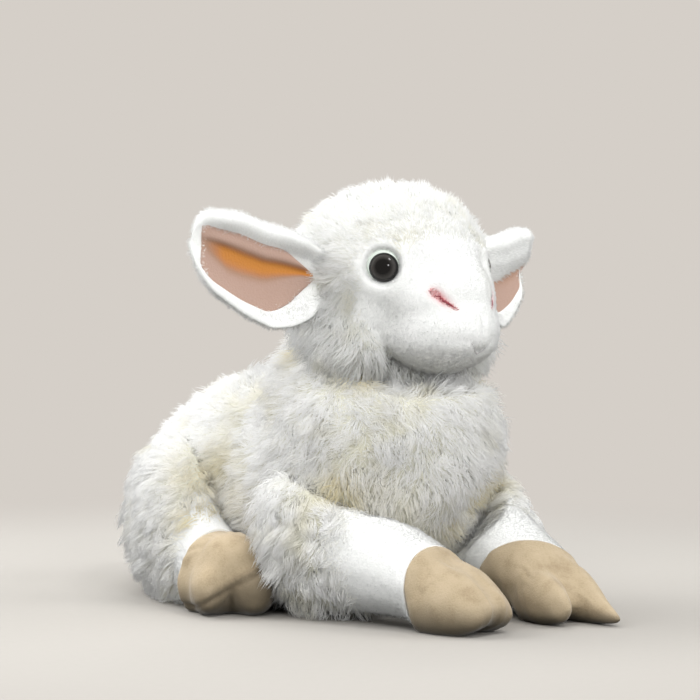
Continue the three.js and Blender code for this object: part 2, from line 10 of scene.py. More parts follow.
import bmesh
import bpy
import numpy as np
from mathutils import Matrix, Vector

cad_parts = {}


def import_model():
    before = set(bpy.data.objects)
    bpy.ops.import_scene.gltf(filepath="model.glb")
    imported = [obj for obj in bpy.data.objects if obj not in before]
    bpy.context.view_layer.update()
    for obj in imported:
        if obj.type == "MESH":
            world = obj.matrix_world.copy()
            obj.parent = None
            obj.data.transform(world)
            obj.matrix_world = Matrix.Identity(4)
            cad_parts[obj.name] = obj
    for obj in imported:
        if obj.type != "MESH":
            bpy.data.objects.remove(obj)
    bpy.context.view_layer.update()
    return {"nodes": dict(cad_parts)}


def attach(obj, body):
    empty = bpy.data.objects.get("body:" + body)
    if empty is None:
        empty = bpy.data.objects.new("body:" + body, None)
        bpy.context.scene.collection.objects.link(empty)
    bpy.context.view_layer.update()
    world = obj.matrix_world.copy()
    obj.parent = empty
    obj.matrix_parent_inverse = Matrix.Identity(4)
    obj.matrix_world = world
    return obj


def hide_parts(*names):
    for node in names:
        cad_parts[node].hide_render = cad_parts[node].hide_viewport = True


log = logging.getLogger("lamb")

Array = np.ndarray
Field = Callable[[Array], Array]
Triple = tuple[float, float, float]
Press = tuple[Triple, Triple, float]  # a place, its reach along X, Y and Z, and how much it does there
Solid = tuple[Array, Array]  # points in mm and faces
Tree = bpy.types.NodeTree
Socket = bpy.types.NodeSocket

MM = 0.001
PIECE_FACES = 195000  # of a piece of pile, in triangles
FLOOR_CLEAR = 0.4  # mm, the least height of any strand over the floor
BAKE_MAP = "OFBake"
PLAIN_TINT = 0.7  # a strand's tint is white up to here and ever more yellow with painted crease shade above
ON_AXIS = 0.01  # mm, the radius of a turned part in its middle
UP = (0.0, 0.0, 1.0)

MULTIPLIED = {"data_type": "RGBA", "blend_type": "MULTIPLY"}
MULTIPLY_ADD = {"operation": "MULTIPLY_ADD"}
SMOOTH = {"interpolation_type": "SMOOTHSTEP"}


class Side(Enum):
    """The lamb's own sides; its right is -X."""

    RIGHT = "right"
    LEFT = "left"

    @property
    def sign(self) -> float:
        """-1 for the right side, 1 for the left."""
        return -1.0 if self is Side.RIGHT else 1.0


class Seed(IntEnum):
    """The random pattern of each area, the same in every run."""

    FACE_EDGE = 3
    HOOF_WRINKLES = 5
    HOOF_LUMPS = 6
    TRUNK_LUMPS = 21
    TRUNK_FUR = 31
    NECK_FUR = 33
    HEAD_FUR = 41
    FACE_PILE = 42
    EAR_PILE = 51
    LEG_PILE = 61
    SLEEVE_PILE = 62
    TAIL_FUR = 71


def linear(hex_colour: str) -> tuple[float, float, float, float]:
    """Turns an sRGB hex colour to linear light.

    Args:
        hex_colour: six hex digits.

    Returns:
        Red, green, blue and an alpha of 1.
    """
    shares = [int(hex_colour[k : k + 2], 16) / 255 for k in (0, 2, 4)]
    red, green, blue = (s / 12.92 if s <= 0.04045 else ((s + 0.055) / 1.055) ** 2.4 for s in shares)
    return red, green, blue, 1.0


def unit(vectors: Array) -> Array:
    """Gives the vectors a length of one."""
    return vectors / np.maximum(np.linalg.norm(vectors, axis=-1, keepdims=True), 1e-9)


def off_axis(places: Array, axis: Array) -> Array:
    """How far places lie from an axis through the origin."""
    return np.linalg.norm(places - (places @ axis)[:, None] * axis, axis=1)


def turned(points: Array, axis: Triple, degrees: float) -> Array:
    """Turns points about an axis through the origin.

    Args:
        points: the places.
        axis: the axis' direction.
        degrees: how far, by the right-hand rule.

    Returns:
        The places after the turn.
    """
    x, y, z = unit(np.array(axis))
    cross = np.array([[0, -z, y], [z, 0, -x], [-y, x, 0]])
    angle = math.radians(degrees)
    matrix = np.eye(3) + math.sin(angle) * cross + (1 - math.cos(angle)) * cross @ cross
    return points @ matrix.T


def smoothstep(values: Array, low: float, high: float) -> Array:
    """0 below low, 1 above high and smooth between."""
    share = np.clip((values - low) / (high - low), 0, 1)
    return share * share * (3 - 2 * share)


def fade(values: Array, low: float, high: float) -> Array:
    """1 below low, 0 above high and smooth between."""
    return smoothstep(-values, -high, -low)


def hump(values: Array, reach: float) -> Array:
    """1 at zero, and fading on both sides over a reach."""
    return np.exp(-((values / reach) ** 2))


def swell(points: Array, centre: Triple, radii: Triple) -> Array:
    """A soft hump of height 1 at a centre that fades over the given radii.

    Args:
        points: the places, one row each.
        centre: the middle of the hump.
        radii: how far it reaches along X, Y and Z.

    Returns:
        The hump's height at each place.
    """
    away = (points - np.array(centre)) / np.array(radii)
    return np.exp(-(away**2).sum(1))


def drift(points: Array, size: float, seed: int, waves: int = 7, loudness: float = 2.2) -> Array:
    """Smooth noise, one vector for each place, that changes over about a size.

    Args:
        points: the places.
        size: the distance over which it turns, in mm.
        seed: picks the pattern.
        waves: how many waves make it up.
        loudness: what most of their sums lie under.

    Returns:
        Vectors whose parts lie mostly between -1 and 1.
    """
    rng = np.random.default_rng(seed)
    total = np.zeros((len(points), 3))
    for _ in range(waves):
        direction = unit(rng.normal(size=3))
        phases = rng.uniform(0, 2 * math.pi, 3)
        rate = 2 * math.pi / (size * rng.uniform(0.7, 1.6))
        total += np.sin((points @ direction * rate)[:, None] + phases) * rng.uniform(0.4, 1.0, 3)
    return total / loudness


def steady(direction: Sequence[float] | Array) -> Field:
    """A comb that is the same at every place."""
    return lambda places: np.tile(np.array(direction, float), (len(places), 1))


def eased(rows: Sequence[Triple], places: Array, fine: int = 200, half: int = 15) -> Array:
    """Reads a table of shares smoothly.

    Args:
        rows: a place from 0 to 1 and its values each.
        places: where to read them.
        fine: how many steps the table is drawn in.
        half: how many steps on both sides each value is smoothed over.

    Returns:
        One row of values for each place.
    """
    table = np.array(rows)
    grid = np.linspace(table[0, 0], table[-1, 0], fine)
    values = np.stack([np.interp(grid, table[:, 0], column) for column in table[:, 1:].T], 1)
    kernel = np.hanning(2 * half + 1)
    kernel /= kernel.sum()
    ahead, behind = 2 * values[:1] - values[half:0:-1], 2 * values[-1:] - values[-2 : -2 - half : -1]
    padded = np.concatenate([ahead, values, behind])
    soft = [np.convolve(column, kernel, "valid") for column in padded.T]
    return np.stack([np.interp(places, grid, column) for column in soft], 1)


def add(tree: Tree, kind: str, settings: dict | None = None, **links: object) -> bpy.types.Node:
    """Adds a node with its settings, sets its inputs and links what comes from other nodes.

    Args:
        tree: the material's nodes.
        kind: Blender's name for the node, less its first word.
        settings: the node's own properties, and as "stops" a ramp's places with their sRGB hex colours.
        links: inputs by name, with _ for a space, or i and a number, as a value or an output socket.

    Returns:
        The new node.
    """
    node = tree.nodes.new("ShaderNode" + kind)
    settings = dict(settings or {})
    stops = settings.pop("stops", [])
    for name, value in settings.items():
        setattr(node, name, value)
    while stops and len(node.color_ramp.elements) < len(stops):
        node.color_ramp.elements.new(0.5)
    for number, (place, colour) in enumerate(stops):
        node.color_ramp.elements[number].position = place
        node.color_ramp.elements[number].color = linear(colour)
    for name, value in links.items():
        numbered = name[0] == "i" and name[1:].isdigit()
        socket = node.inputs[int(name[1:]) if numbered else name.replace("_", " ")]
        if isinstance(value, Socket):
            tree.links.new(value, socket)
        else:
            socket.default_value = value
    return node


def blank(name: str) -> tuple[bpy.types.Material, Tree]:
    """An empty node material and its tree.

    Args:
        name: the material's name.

    Returns:
        The material and its nodes.
    """
    material = bpy.data.materials.new(name)
    material.use_nodes = True
    material.node_tree.nodes.clear()
    return material, material.node_tree


def blushed(tree: Tree, colour: Socket) -> Socket:
    """Tints a colour pink by the piece's blush attribute; without one it stays."""
    pink = add(tree, "Attribute", {"attribute_name": "blush"}).outputs["Fac"]
    return add(tree, "Mix", MULTIPLIED, i0=pink, i6=colour, i7=linear("f39aa2")).outputs[2]


@dataclass(frozen=True)
class FauxFur:
    """Acrylic long pile, brushed: bright tips over a creamier foot that is painted shade down among the
    strands, a soft sheen and no gloss.
    """

    name: str = "acrylic_long_pile"
    # Painted shade: the foot is darker and creamier than the tip, for the shade down among the strands.
    shaded_foot: str = "f6f5ee"
    middle: str = "fbfbf8"
    tip: str = "fefefe"
    warm: str = "f3efdc"
    cool: str = "f2f4f2"
    # Painted shade: the yellow that strands take in the creases between stuffed parts.
    yellow_shade: str = "e3d49c"
    patch_mm: float = 26.0
    glow: float = 0.3  # the share of light that a strand scatters through
    clear: float = 0.82  # the share of the lamps' light that a strand lets by: it is thinner than it is drawn
    roughness: float = 0.5
    specular: float = 0.45
    sheen: float = 0.2
    sheen_roughness: float = 0.45

    def make(self) -> bpy.types.Material:
        """Builds the material.

        Returns:
            The material.
        """
        material, tree = blank(self.name)
        colour = self.colour(tree)
        shader = add(
            tree,
            "BsdfPrincipled",
            Base_Color=colour,
            Roughness=self.roughness,
            IOR=1.5,
            Specular_IOR_Level=self.specular,
            Sheen_Weight=self.sheen,
            Sheen_Roughness=self.sheen_roughness,
        )
        through = add(tree, "BsdfTranslucent", Color=colour)
        both = add(tree, "MixShader", i0=self.glow, i1=shader.outputs[0], i2=through.outputs[0])
        shadow = add(tree, "LightPath").outputs["Is Shadow Ray"]
        let_by = add(tree, "Math", {"operation": "MULTIPLY"}, i0=shadow, i1=self.clear)
        clear = add(tree, "BsdfTransparent")
        thin = add(tree, "MixShader", i0=let_by.outputs[0], i1=both.outputs[0], i2=clear.outputs[0])
        add(tree, "OutputMaterial", Surface=thin.outputs[0])
        return material

    def colour(self, tree: Tree) -> Socket:
        """Colours a strand by its UV map, which gives its tint across and its height along; the height
        darkens towards the foot as painted shade.

        Args:
            tree: the material's nodes.

        Returns:
            The colour, warmer in some patches, and yellow with painted shade where the strand stands in a
            crease.
        """
        uv = add(tree, "UVMap", {"uv_map": BAKE_MAP})
        split = add(tree, "SeparateXYZ", Vector=uv.outputs["UV"])
        # Painted shade: darker at the foot than at the tip.
        heights = {"stops": [(0.0, self.shaded_foot), (0.45, self.middle), (1.0, self.tip)]}
        along = add(tree, "ValToRGB", heights, Fac=split.outputs["Y"]).outputs["Color"]
        place = add(tree, "TexCoord").outputs["Object"]
        noise = add(tree, "TexNoise", Vector=place, Scale=1 / (self.patch_mm * MM), Detail=2.0)
        limits = {"From_Min": 0.52, "From_Max": 0.72, "To_Max": 0.55}
        patch = add(tree, "MapRange", SMOOTH, Value=noise.outputs["Fac"], **limits).outputs["Result"]
        warm = add(tree, "Mix", MULTIPLIED, i0=patch, i6=along, i7=linear(self.warm)).outputs[2]
        # Painted shade: tints over PLAIN_TINT turn a strand yellow in the creases.
        tints = {"stops": [(0.0, self.cool), (0.4, "fefefe"), (PLAIN_TINT, "ffffff"), (1.0, self.yellow_shade)]}
        tint = add(tree, "ValToRGB", tints, Fac=split.outputs["X"]).outputs["Color"]
        return blushed(tree, add(tree, "Mix", MULTIPLIED, i0=1.0, i6=warm, i7=tint).outputs[2])


@dataclass(frozen=True, kw_only=True)
class Finish(ABC):
    """What cloth, thread and plastic share: a surface whose fine grain shows in its relief."""

    name: str
    grain_mm: float
    detail: float = 2.0  # how many finer layers the grain has
    bump: float
    bump_mm: float = 0.5
    roughness: float
    ior: float = 1.5
    specular: float = 0.5
    sheen: float = 0.0
    sheen_roughness: float = 0.5

    def make(self) -> bpy.types.Material:
        """Builds the material.

        Returns:
            The material.
        """
        material, tree = blank(self.name)
        place = add(tree, "TexCoord").outputs["Object"]
        scale = 1 / (self.grain_mm * MM)
        grain = add(tree, "TexNoise", Vector=place, Scale=scale, Detail=self.detail).outputs["Fac"]
        shader = add(
            tree,
            "BsdfPrincipled",
            Base_Color=self.colour(tree, place, grain),
            Roughness=self.roughness,
            IOR=self.ior,
            Specular_IOR_Level=self.specular,
            Sheen_Weight=self.sheen,
            Sheen_Roughness=self.sheen_roughness,
        )
        if self.bump:
            relief = add(tree, "Bump", Strength=self.bump, Distance=self.bump_mm * MM, Height=grain)
            tree.links.new(relief.outputs["Normal"], shader.inputs["Normal"])
        add(tree, "OutputMaterial", Surface=shader.outputs["BSDF"])
        return material

    @abstractmethod
    def colour(self, tree: Tree, place: Socket, grain: Socket) -> Socket | tuple[float, ...]:
        """Makes the surface's colour.

        Args:
            tree: the material's nodes.
            place: the place on the piece, in metres.
            grain: the fine grain, from 0 to 1.

        Returns:
            A colour socket, or one plain colour.
        """


@dataclass(frozen=True, kw_only=True)
class Knit(Finish):
    """Polyester cloth with a nap: the knit's loops show as a fine grain under a sheen."""

    light: str
    shade: str
    grain_mm: float = 1.1  # a loop is 0.5 mm; drawn coarser so that it shows
    grain_share: float = 0.45
    patch_mm: float = 14.0
    detail: float = 3.0
    bump: float = 0.35
    bump_mm: float = 0.6
    roughness: float = 0.85
    specular: float = 0.25
    sheen: float = 0.3

    def colour(self, tree: Tree, place: Socket, grain: Socket) -> Socket:
        """Light and shaded patches under the grain, pink where the piece blushes.

        Args:
            tree: the material's nodes.
            place: the place on the piece, in metres.
            grain: the fine grain, from 0 to 1.

        Returns:
            The colour.
        """
        patch = add(tree, "TexNoise", Vector=place, Scale=1 / (self.patch_mm * MM), Detail=2.0)
        mixed = add(tree, "Math", MULTIPLY_ADD, i0=grain, i1=self.grain_share, i2=patch.outputs["Fac"])
        tones = {"stops": [(0.45, self.shade), (0.95, self.light)]}
        return blushed(tree, add(tree, "ValToRGB", tones, Fac=mixed.outputs[0]).outputs["Color"])


@dataclass(frozen=True, kw_only=True)
class EarVelour(Finish):
    """Peach velour, short and brushed: pale at the rim, darkening with painted shade to a saturated orange
    down in the fold.
    """

    name: str = "ear_velour"
    rim: str = "b89b8d"
    # Painted shade: bowl, slope and fold darken step by step into the fold's hollow.
    bowl: str = "a98671"
    slope: str = "b87f56"
    fold: str = "c9853f"
    grain_mm: float = 0.9  # the nap is 0.3 mm; drawn coarser so that it shows
    grain_share: float = 0.16
    detail: float = 3.0
    bump: float = 0.4
    roughness: float = 0.8
    specular: float = 0.25
    sheen: float = 0.35
    sheen_roughness: float = 0.4

    def colour(self, tree: Tree, place: Socket, grain: Socket) -> Socket:
        """Follows the piece's fold attribute, which says how deep in the fold a place is; the colour darkens
        there as painted shade.

        Args:
            tree: the material's nodes.
            place: the place on the piece, in metres; not used here.
            grain: the fine grain, from 0 to 1.

        Returns:
            The colour.
        """
        depth = add(tree, "Attribute", {"attribute_name": "fold"}).outputs["Fac"]
        moved = add(tree, "Math", MULTIPLY_ADD, i0=grain, i1=self.grain_share, i2=depth)
        tones = {"stops": [(0.05, self.rim), (0.4, self.bowl), (0.75, self.slope), (1.0, self.fold)]}
        return add(tree, "ValToRGB", tones, Fac=moved.outputs[0]).outputs["Color"]


@dataclass(frozen=True, kw_only=True)
class Velboa(Finish):
    """Velboa, a 2 mm polyester pile that is brushed flat: a suede-like drift of light and dark."""

    name: str = "hoof_velboa"
    light: str = "c2b094"
    middle: str = "bba98c"
    dark: str = "ab987c"
    # Painted shade: the dark colour in the cleft, under the sole's seam and near the floor.
    crease: str = "6a604f"
    grain_mm: float = 0.8  # a fibre is 0.03 mm; drawn as tufts that show
    grain_share: float = 0.5
    patch_mm: float = 9.0
    detail: float = 4.0
    bump: float = 0.45
    roughness: float = 0.78
    specular: float = 0.3
    sheen: float = 0.3
    sheen_roughness: float = 0.4

    def colour(self, tree: Tree, place: Socket, grain: Socket) -> Socket:
        """Drifts of brushed nap, with painted shade where the piece's crease attribute says so.

        Args:
            tree: the material's nodes.
            place: the place on the piece, in metres.
            grain: the fine grain, from 0 to 1.

        Returns:
            The colour.
        """
        patch = add(tree, "TexNoise", Vector=place, Scale=1 / (self.patch_mm * MM), Detail=3.0)
        mixed = add(tree, "Math", MULTIPLY_ADD, i0=grain, i1=self.grain_share, i2=patch.outputs["Fac"])
        tones = {"stops": [(0.5, self.dark), (0.75, self.middle), (1.0, self.light)]}
        nap = add(tree, "ValToRGB", tones, Fac=mixed.outputs[0]).outputs["Color"]
        deep = add(tree, "Attribute", {"attribute_name": "crease"}).outputs["Fac"]
        return add(tree, "Mix", {"data_type": "RGBA"}, i0=deep, i6=nap, i7=linear(self.crease)).outputs[2]


@dataclass(frozen=True, kw_only=True)
class EyeAcrylic(Finish):
    """Moulded acrylic safety eye: black pupil and rim, a brown iris ring, all under a clear polished dome."""

    name: str = "polished_eye_acrylic"
    pupil: str = "050404"
    iris: str = "444240"
    rim: str = "090808"
    grain_mm: float = 0.7  # it wavers the printed ring's edges a little
    grain_share: float = 0.05
    bump: float = 0.0
    roughness: float = 0.05
    ior: float = 1.49
    specular: float = 0.3

    def colour(self, tree: Tree, place: Socket, grain: Socket) -> Socket:
        """Rings by the piece's reach attribute, the share of the eye's radius.

        Args:
            tree: the material's nodes.
            place: the place on the piece, in metres; not used here.
            grain: the fine grain, from 0 to 1.

        Returns:
            The colour.
        """
        reach = add(tree, "Attribute", {"attribute_name": "reach"}).outputs["Fac"]
        moved = add(tree, "Math", MULTIPLY_ADD, i0=grain, i1=self.grain_share, i2=reach)
        inner = [(0.0, self.pupil), (0.5, "070606"), (0.62, "2b2927")]
        rings = {"stops": [*inner, (0.8, self.iris), (0.9, "141312"), (1.0, self.rim)]}
        return add(tree, "ValToRGB", rings, Fac=moved.outputs[0]).outputs["Color"]


@dataclass(frozen=True, kw_only=True)
class Moulded(Finish):
    """Moulded plastic, plain: a faint orange-peel from the mould under a satin surface."""

    plain: str
    grain_mm: float = 0.5
    bump: float = 0.08
    bump_mm: float = 0.1
    ior: float = 1.49

    def colour(self, tree: Tree, place: Socket, grain: Socket) -> tuple[float, ...]:
        """One plain colour."""
        return linear(self.plain)


@dataclass(frozen=True, kw_only=True)
class Thread(Finish):
    """Rayon embroidery thread: fine plies with a silky sheen."""

    light: str
    shade: str
    grain_mm: float = 0.35  # a ply
    bump: float = 0.5
    bump_mm: float = 0.15
    roughness: float = 0.5
    sheen: float = 0.2

    def colour(self, tree: Tree, place: Socket, grain: Socket) -> Socket:
        """Darker between the plies."""
        tones = {"stops": [(0.3, self.shade), (0.65, self.light)]}
        return add(tree, "ValToRGB", tones, Fac=grain).outputs["Color"]


@dataclass(frozen=True)
class Finishes:
    """Every finish of the lamb, made once."""

    fur: bpy.types.Material
    backing: bpy.types.Material
    plush: bpy.types.Material
    plush_pile: bpy.types.Material
    lining: bpy.types.Material
    hoof: bpy.types.Material
    eye: bpy.types.Material
    eye_rim: bpy.types.Material
    washer: bpy.types.Material
    pink: bpy.types.Material
    wine: bpy.types.Material
    seam: bpy.types.Material
    fibre: bpy.types.Material

    @classmethod
    def make(cls) -> "Finishes":
        """Builds them all.

        Returns:
            The finishes.
        """
        return cls(
            fur=FauxFur().make(),
            backing=Knit(name="pile_backing", light="e9e8dc", shade="d9d7c4").make(),
            plush=Knit(name="short_plush", light="fafaf8", shade="f0f1ee", grain_mm=0.9).make(),
            # Painted shade: this short pile's foot is darker than its tip, as on the long pile.
            plush_pile=FauxFur("short_plush_pile", "f6f7f4", "fbfbfa", "fdfdfd", "fafaf6", clear=0.96).make(),
            lining=EarVelour().make(),
            hoof=Velboa().make(),
            eye=EyeAcrylic().make(),
            # Pale backing: a real disc, whose crescent over the dome is partly a painted reflection.
            eye_rim=Moulded(name="eye_backing_plastic", plain="e2ebe2", roughness=0.25).make(),
            washer=Moulded(name="nylon_washer", plain="d8dadb", roughness=0.45).make(),
            pink=Thread(name="nose_thread", light="e3adab", shade="d39193").make(),
            wine=Thread(name="nose_centre_thread", light="a14650", shade="803038").make(),
            seam=Thread(name="mouth_thread", light="dad6d7", shade="c2bcbf").make(),
            fibre=Knit(name="polyester_fibre", light="e6e6e0", shade="d4d4ce", grain_mm=2.5, bump=0.8).make(),
        )


def polygons(mesh: bpy.types.Mesh, points: Array, faces: Sequence[Array]) -> None:
    """Fills a mesh with points in mm and polygons.

    Args:
        mesh: an empty mesh.
        points: the places, in mm.
        faces: arrays of corner numbers, each of one polygon size.
    """
    loops = np.concatenate([f.ravel() for f in faces]).astype(np.int32)
    sizes = np.concatenate([np.full(len(f), f.shape[1], np.int32) for f in faces])
    mesh.vertices.add(len(points))
    mesh.vertices.foreach_set("co", (points * MM).astype(np.float32).ravel())
    mesh.loops.add(len(loops))
    mesh.loops.foreach_set("vertex_index", loops)
    mesh.polygons.add(len(sizes))
    mesh.polygons.foreach_set("loop_start", np.concatenate([[0], np.cumsum(sizes)[:-1]]).astype(np.int32))
    mesh.polygons.foreach_set("use_smooth", np.ones(len(sizes), bool))
    mesh.update(calc_edges=True)


def shown(name: str, points: Array, faces: Sequence[Array], material: bpy.types.Material) -> bpy.types.Object:
    """Makes an object of points and polygons.

    Args:
        name: the piece's name.
        points: the places, in mm.
        faces: arrays of corner numbers.
        material: its finish.

    Returns:
        The object, in the scene.
    """
    mesh = bpy.data.meshes.new(name)
    polygons(mesh, points, faces)
    mesh.materials.append(material)
    piece = bpy.data.objects.new(name, mesh)
    bpy.context.scene.collection.objects.link(piece)
    log.info("%s: %d points", name, len(points))
    return piece


def painted(piece: bpy.types.Object, name: str, values: Array) -> None:
    """Gives each point of a piece a number that its material reads."""
    attribute = piece.data.attributes.new(name, "FLOAT", "POINT")
    attribute.data.foreach_set("value", values.astype(np.float32))


def places_of(mesh: bpy.types.Mesh) -> Array:
    """The points of a mesh, in mm.

    Args:
        mesh: the mesh, in metres.

    Returns:
        One row for each point.
    """
    flat = np.zeros(len(mesh.vertices) * 3, np.float32)
    mesh.vertices.foreach_get("co", flat)
    return flat.reshape(-1, 3).astype(float) / MM


def node_mesh(node: bpy.types.Object) -> Solid:
    """The points in mm and the triangles of a CAD node.

    Args:
        node: the node's object.

    Returns:
        The points and the triangles' corner numbers.
    """
    node.data.calc_loop_triangles()
    triangles = np.zeros(len(node.data.loop_triangles) * 3, np.int32)
    node.data.loop_triangles.foreach_get("vertices", triangles)
    return places_of(node.data), triangles.reshape(-1, 3)


def ball(centre: Sequence[float] | Array, radii: Triple, steps: int) -> Solid:
    """A closed ellipsoid of triangles in mm.

    Args:
        centre: its middle.
        radii: its half sizes.
        steps: its sides round the middle.

    Returns:
        Its points and triangles.
    """
    mesh = bmesh.new()
    bmesh.ops.create_uvsphere(mesh, u_segments=steps, v_segments=steps // 2, radius=1.0)
    bmesh.ops.triangulate(mesh, faces=mesh.faces[:])
    points = np.array([v.co for v in mesh.verts]) * np.array(radii) + np.array(centre)
    faces = np.array([[v.index for v in f.verts] for f in mesh.faces])
    mesh.free()
    return points, faces


def bands(sides: int, rings: int) -> Array:
    """The quads between rings of points that follow each other.

    Args:
        sides: the points of each ring.
        rings: how many there are.

    Returns:
        The corner numbers of the quads.
    """
    row = np.arange(sides)
    after = (row + 1) % sides
    band = np.stack([row, after, after + sides, row + sides], 1)
    return np.concatenate([band + sides * ring for ring in range(rings - 1)])


def lathe(centre: Array, axis: Array, profile: Sequence[tuple[float, float]], steps: int = 48) -> Solid:
    """Turns a profile about an axis.

    Args:
        centre: where the axis starts.
        axis: its direction.
        profile: rows of radius and height, from the front's middle to the back's.
        steps: the sides round it.

    Returns:
        Its points and quads.
    """
    across = unit(np.cross(axis, np.array(UP)))
    upright = np.cross(across, axis)
    turns = np.arange(steps) * 2 * math.pi / steps
    spokes = np.cos(turns)[:, None] * across + np.sin(turns)[:, None] * upright
    radii, heights = np.array(profile).T
    points = centre + spokes[None] * radii[:, None, None] + axis * heights[:, None, None]
    return points.reshape(-1, 3), bands(steps, len(radii))[:, ::-1]


def tube(path: Array, radii: Array, sides: int) -> Solid:
    """A round thread along a path, closed at its ends by its shrinking radii.

    Args:
        path: the places that it runs through.
        radii: its radius at each.
        sides: its sides.

    Returns:
        Its points and quads.
    """
    along = unit(np.gradient(path, axis=0))
    no_thread = np.array([0.2, 0.5, 0.84])  # a direction that no thread runs in
    side = unit(np.cross(along, no_thread))
    over = np.cross(along, side)
    turns = (np.arange(sides) * 2 * math.pi / sides)[:, None, None]
    ring = np.cos(turns) * side + np.sin(turns) * over
    points = (path + ring * radii[:, None]).transpose(1, 0, 2).reshape(-1, 3)
    return points, bands(sides, len(path))


def merged(parts: Sequence[Solid]) -> Solid:
    """Puts several meshes of the same polygon size together.

    Args:
        parts: the meshes.

    Returns:
        All of them as one.
    """
    offsets = np.cumsum([0] + [len(points) for points, _ in parts[:-1]])
    faces = [corners + offset for (_, corners), offset in zip(parts, offsets)]
    return np.concatenate([points for points, _ in parts]), np.concatenate(faces)


@dataclass
class Skin:
    """A smooth closed surface of quads, in mm."""

    points: Array
    quads: Array

    @classmethod
    def wrap(cls, solids: Sequence[Solid], voxel: float, rounds: int, growth: float = 0.0) -> "Skin":
        """Wraps solids in one skin.

        Args:
            solids: the points and triangles of each, in mm.
            voxel: the skin's grain.
            rounds: how often it is smoothed.
            growth: how far it then moves out.

        Returns:
            The outermost skin.
        """
        mesh = bpy.data.meshes.new("wrap")
        points, triangles = merged(solids)
        polygons(mesh, points, [triangles])
        carrier = bpy.data.objects.new("wrap", mesh)
        bpy.context.scene.collection.objects.link(carrier)
        remesh = carrier.modifiers.new("skin", "REMESH")
        remesh.mode = "VOXEL"
        remesh.voxel_size = voxel * MM
        evaluated = carrier.evaluated_get(bpy.context.evaluated_depsgraph_get())
        wrapped = evaluated.to_mesh()
        quads = np.zeros(len(wrapped.loops), np.int32)
        wrapped.loops.foreach_get("vertex_index", quads)
        skin = cls(places_of(wrapped), quads.reshape(-1, 4)).largest()
        evaluated.to_mesh_clear()
        bpy.data.objects.remove(carrier)
        bpy.data.meshes.remove(mesh)
        skin.smooth(rounds)
        skin.push(growth)
        return skin

    def largest(self) -> "Skin":
        """Keeps the part with the most points, and leaves out pockets inside it.

        Returns:
            The skin that is left.
        """
        labels = np.arange(len(self.points))
        while True:
            low = labels[self.quads].min(1)
            lower = labels.copy()
            np.minimum.at(lower, self.quads.ravel(), np.repeat(low, 4))
            lower = lower[lower]
            if (lower == labels).all():
                break
            labels = lower
        names, counts = np.unique(labels, return_counts=True)
        keep = labels == names[counts.argmax()]
        number = np.cumsum(keep) - 1
        return Skin(self.points[keep], number[self.quads[keep[self.quads[:, 0]]]])

    def smooth(self, rounds: int, where: Array | None = None) -> None:
        """Moves each point halfway to its neighbours' middle.

        Args:
            rounds: how often.
            where: how much of each move a point makes, from 0 to 1.
        """
        a = self.quads.ravel()
        b = np.roll(self.quads, -1, axis=1).ravel()
        start, end = np.concatenate([a, b]), np.concatenate([b, a])
        count = np.bincount(start, minlength=len(self.points))[:, None]
        share = 0.5 if where is None else 0.5 * where[:, None]
        for _ in range(rounds):
            sums = [np.bincount(start, self.points[end, k], len(self.points)) for k in range(3)]
            self.points += (np.stack(sums, 1) / count - self.points) * share

    def normals(self) -> Array:
        """The way each point faces.

        Returns:
            A direction for each point.
        """
        corners = self.points[self.quads]
        facing = np.cross(corners[:, 2] - corners[:, 0], corners[:, 3] - corners[:, 1])
        corner, count = self.quads.ravel(), len(self.points)
        total = [np.bincount(corner, np.repeat(facing[:, k], 4), count) for k in range(3)]
        return unit(np.stack(total, 1))

    def push(self, amounts: Array | float) -> None:
        """Moves each point out by its own amount, or in where that is less than 0."""
        self.points += self.normals() * np.reshape(amounts, (-1, 1))

    def stand(self) -> None:
        """Flattens what would lie under the floor."""
        self.points[:, 2] = np.maximum(self.points[:, 2], 0)

    def spread(self, density: float, where: Array, rng: np.random.Generator) -> tuple[Array, Array]:
        """Picks places all over the skin.

        Args:
            density: how many on each square mm.
            where: how dense it is at each point, from 0 to 1.
            rng: the random numbers.

        Returns:
            The places and the way the skin faces there.
        """
        triangles = np.concatenate([self.quads[:, [0, 1, 2]], self.quads[:, [0, 2, 3]]])
        corners = self.points[triangles]
        edges = corners[:, 1:] - corners[:, :1]
        areas = np.linalg.norm(np.cross(edges[:, 0], edges[:, 1]), axis=1) / 2
        weights = areas * where[triangles].mean(1)
        count = int(weights.sum() * density)
        picked = np.searchsorted(np.cumsum(weights), rng.uniform(0, weights.sum(), count))
        picked = np.minimum(picked, len(triangles) - 1)
        u, v = rng.uniform(size=(2, count))
        over = u + v > 1
        u[over], v[over] = 1 - u[over], 1 - v[over]
        shares = np.stack([1 - u - v, u, v], 1)[:, :, None]
        places = (corners[picked] * shares).sum(1)
        facing = (self.normals()[triangles[picked]] * shares).sum(1)
        return places, unit(facing)

    def piece(
        self, name: str, material: bpy.types.Material, cuts: Sequence[tuple[Array, Array]] = ()
    ) -> bpy.types.Object:
        """Makes an object of the skin, cut off flat and closed where it is cut.

        Args:
            name: the piece's name.
            material: its finish.
            cuts: a point and a direction each; what lies ahead of it goes.

        Returns:
            The object.
        """
        piece = shown(name, self.points, [self.quads], material)
        if not cuts:
            return piece
        mesh = bmesh.new()
        mesh.from_mesh(piece.data)
        for point, direction in cuts:
            plane = {"plane_co": Vector(point) * MM, "plane_no": Vector(direction)}
            everything = mesh.verts[:] + mesh.edges[:] + mesh.faces[:]
            bmesh.ops.bisect_plane(mesh, geom=everything, clear_outer=True, **plane)
            bmesh.ops.holes_fill(mesh, edges=[e for e in mesh.edges if e.is_boundary])
        for face in mesh.faces:
            face.smooth = len(face.verts) < 5  # the cut's own face is flat
        mesh.to_mesh(piece.data)
        mesh.free()
        return piece

